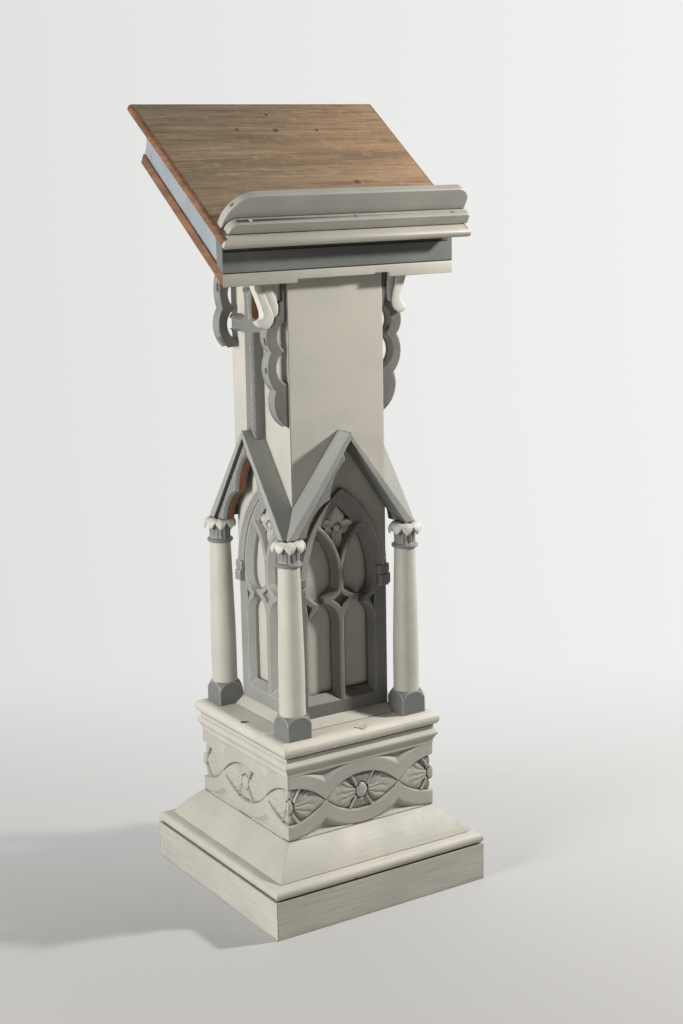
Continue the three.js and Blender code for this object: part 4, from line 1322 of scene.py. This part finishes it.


# Near-black and dark brown for the desk's gaps and recess: painted shade.
joint_gap_shade = fixing("open_joint_shade", (0.03, 0.024, 0.018), 0.9)
fillet_shade_brown = timber("fillet_shade_brown", (0.085, 0.075, 0.06), (0.05, 0.042, 0.034), "X", 0.7, 0.4)
stains = [(*(DESK_TURN @ (Vector((x, s, TOP_FACE)) * MM)), radius)
          for (x, s), radius in zip(TOP_NAILS, NAIL_STAINS)]
desk_timber = timber("desk_timber", (0.36, 0.245, 0.145), (0.175, 0.115, 0.066), "X", 0.62, dust=0.25,
                     stains=stains, sides=((0.93, 0.99, 0.99), (1.10, 1.0, 0.92)))
edge_timber = timber("edge_timber", (0.27, 0.128, 0.060), (0.135, 0.062, 0.031), "Y", dust=0.12)
nose_white = painted("nose_white", (0.50, 0.48, 0.415), (0.43, 0.415, 0.36), "X", wear=0.4)
rest_white = painted("rest_white", (0.44, 0.425, 0.375), (0.385, 0.375, 0.34), "X", wear=0.45, streak=0.2)


# ---------- marks ----------

SLOT_PLACE, SLOT_TURN, SLOT_RADII = (-0.1392, -0.0040), -35, (7.5, 3.0)
# (x, y, height above the slab)
SPLINTER = [(-8, -133, 0.1), (1, -146, 0.1), (6, -141, 1.5), (9, -130, 7.5)]


def slab_marks():
    """The slot worn through the slab's top at the left, drawn as a dark disc of painted shade, and the
    splinter on its front edge.
    """
    slot = Piece()
    slot.lathe([(0, -0.5), (1, -0.5), (1, 0.3), (0, 0.3)], 20)
    stretch = Matrix.Diagonal((*SLOT_RADII, 1, 1))
    place = Matrix.Translation((*SLOT_PLACE, SLAB_TOP * MM))
    turn = place @ Matrix.Rotation(math.radians(SLOT_TURN), 4, "Z")
    add("slab_slot", slot, hole_shade, (), turn @ stretch, angle=40)
    splinter = Piece()
    upper = splinter.ring([(x, y, SLAB_TOP + z + 0.7) for x, y, z in SPLINTER])
    lower = splinter.ring([(x + 1, y + 1.5, SLAB_TOP + z - 0.4) for x, y, z in SPLINTER])
    splinter.bridge(upper, lower)
    for a, b, c, d in (upper, lower):
        splinter.face((a, b, c))
        splinter.face((a, c, d))
    add("slab_splinter", splinter, slab_white, (), angle=20)


# ---------- carried-over CAD boards ----------

def dress(name, material):
    obj = nodes[name]
    obj.data.materials.clear()
    obj.data.materials.append(material)


SLAB_FRONT = -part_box("column_slab")[0].y
# Marks where the paint is gone: (x, y, z, radius).
CHIPS = [(0.002, -SLAB_FRONT + 0.010, SLAB_TOP * MM, 0.0075),
         (-0.094, -SLAB_FRONT + 0.001, SLAB_TOP * MM, 0.003)]
NICKS = [(-0.055, -0.198, 0.066, 0.0050), (0.084, -0.200, 0.061, 0.0035), (-0.199, 0.035, 0.064, 0.0050),
         (-0.200, -0.140, 0.060, 0.0040)]
slab_white = off_white("slab_white", "X", 1.12, wear=0.8, torn=CHIPS)
moulding_white = off_white("moulding_white", "X", wear=0.8, torn=NICKS, torn_to=(0.24, 0.19, 0.14))
# The skirt's off-white is darkened to 0.92 of the off-white, as painted shade.
skirt_white_shaded = off_white("skirt_white_shaded", "X", 0.92, wear=0.7, scuffs=0.8)
shaft_white = off_white("shaft_white", "Z", streak=0.08, scuffs=0.25)
plinth_white = {axis: off_white("plinth_white_" + axis, axis, wear=0.9, grime=0.6, streak=0.8, scuffs=1.0)
                for axis in "XY"}
# Its soffits are darkened as painted shade through under.
roof_grey = painted("roof_grey", (0.318, 0.324, 0.302), (0.362, 0.366, 0.338), "Z", wear=0.9, streak=0.35,
                    scuffs=0.8, worn_to=LIGHT_WEAR, edge_width=0.0025, under=0.8)
rail_grey = painted("rail_grey", (0.135, 0.142, 0.135), (0.17, 0.176, 0.165), "X", wear=0.7, scuffs=0.8)
BOARDS = {"plinth_skirt": skirt_white_shaded, "plinth_moulding": moulding_white, "frieze_cornice": white["X"],
          "column_slab": slab_white, "shaft_base": white["X"], "desk_mounting_block": desk_timber,
          "desk_rail_front": rail_grey, "desk_rail_left": blue_grey, "desk_rail_right": blue_grey,
          "desk_rail_back": blue_grey}


def dress_boards():
    for index, side in enumerate(SIDES):
        dress(f"plinth_board_{side}", plinth_white["XY"[index % 2]])
        dress(f"shaft_board_{side}", shaft_white)
        for hand, _ in HANDS:
            dress(f"gable_roof_{side}_{hand}", roof_grey)
    for name, material in BOARDS.items():
        dress(name, material)


make_camera()
make_studio()
make_floor()
dress_boards()
flower = flower_piece()
for index in range(4):
    window_board(index)
    hood(index)
    kite_flower(index, flower)
friezes()
for depth, hand, sx, sy in CORNERS:
    turn = column_turn(sx, sy)
    column(f"{depth}_{hand}", turn)
    capital(f"{depth}_{hand}", turn)
for index, side in enumerate(SIDES):
    for hand, sign in HANDS:
        if f"bargeboard_{side}_{hand}" in nodes:
            bargeboard(index, hand, sign)
cross()
for corner in CORNERS:
    bracket(*corner)
for hand, sx in HANDS:
    scroll_leaf(hand, sx)
bottom_board()
top_board()
rest_board("book_rest_lip", "book_rest_front", 27, 16, 95, (-213, 225), (18, 6), 1.3)
rest_board("book_rest_backboard", "book_rest_back", 43.3, 14, 133, (-217, 221.5), (50, 26), 1.6)
desk_fixings()
desk_joint_shades()
slab_marks()
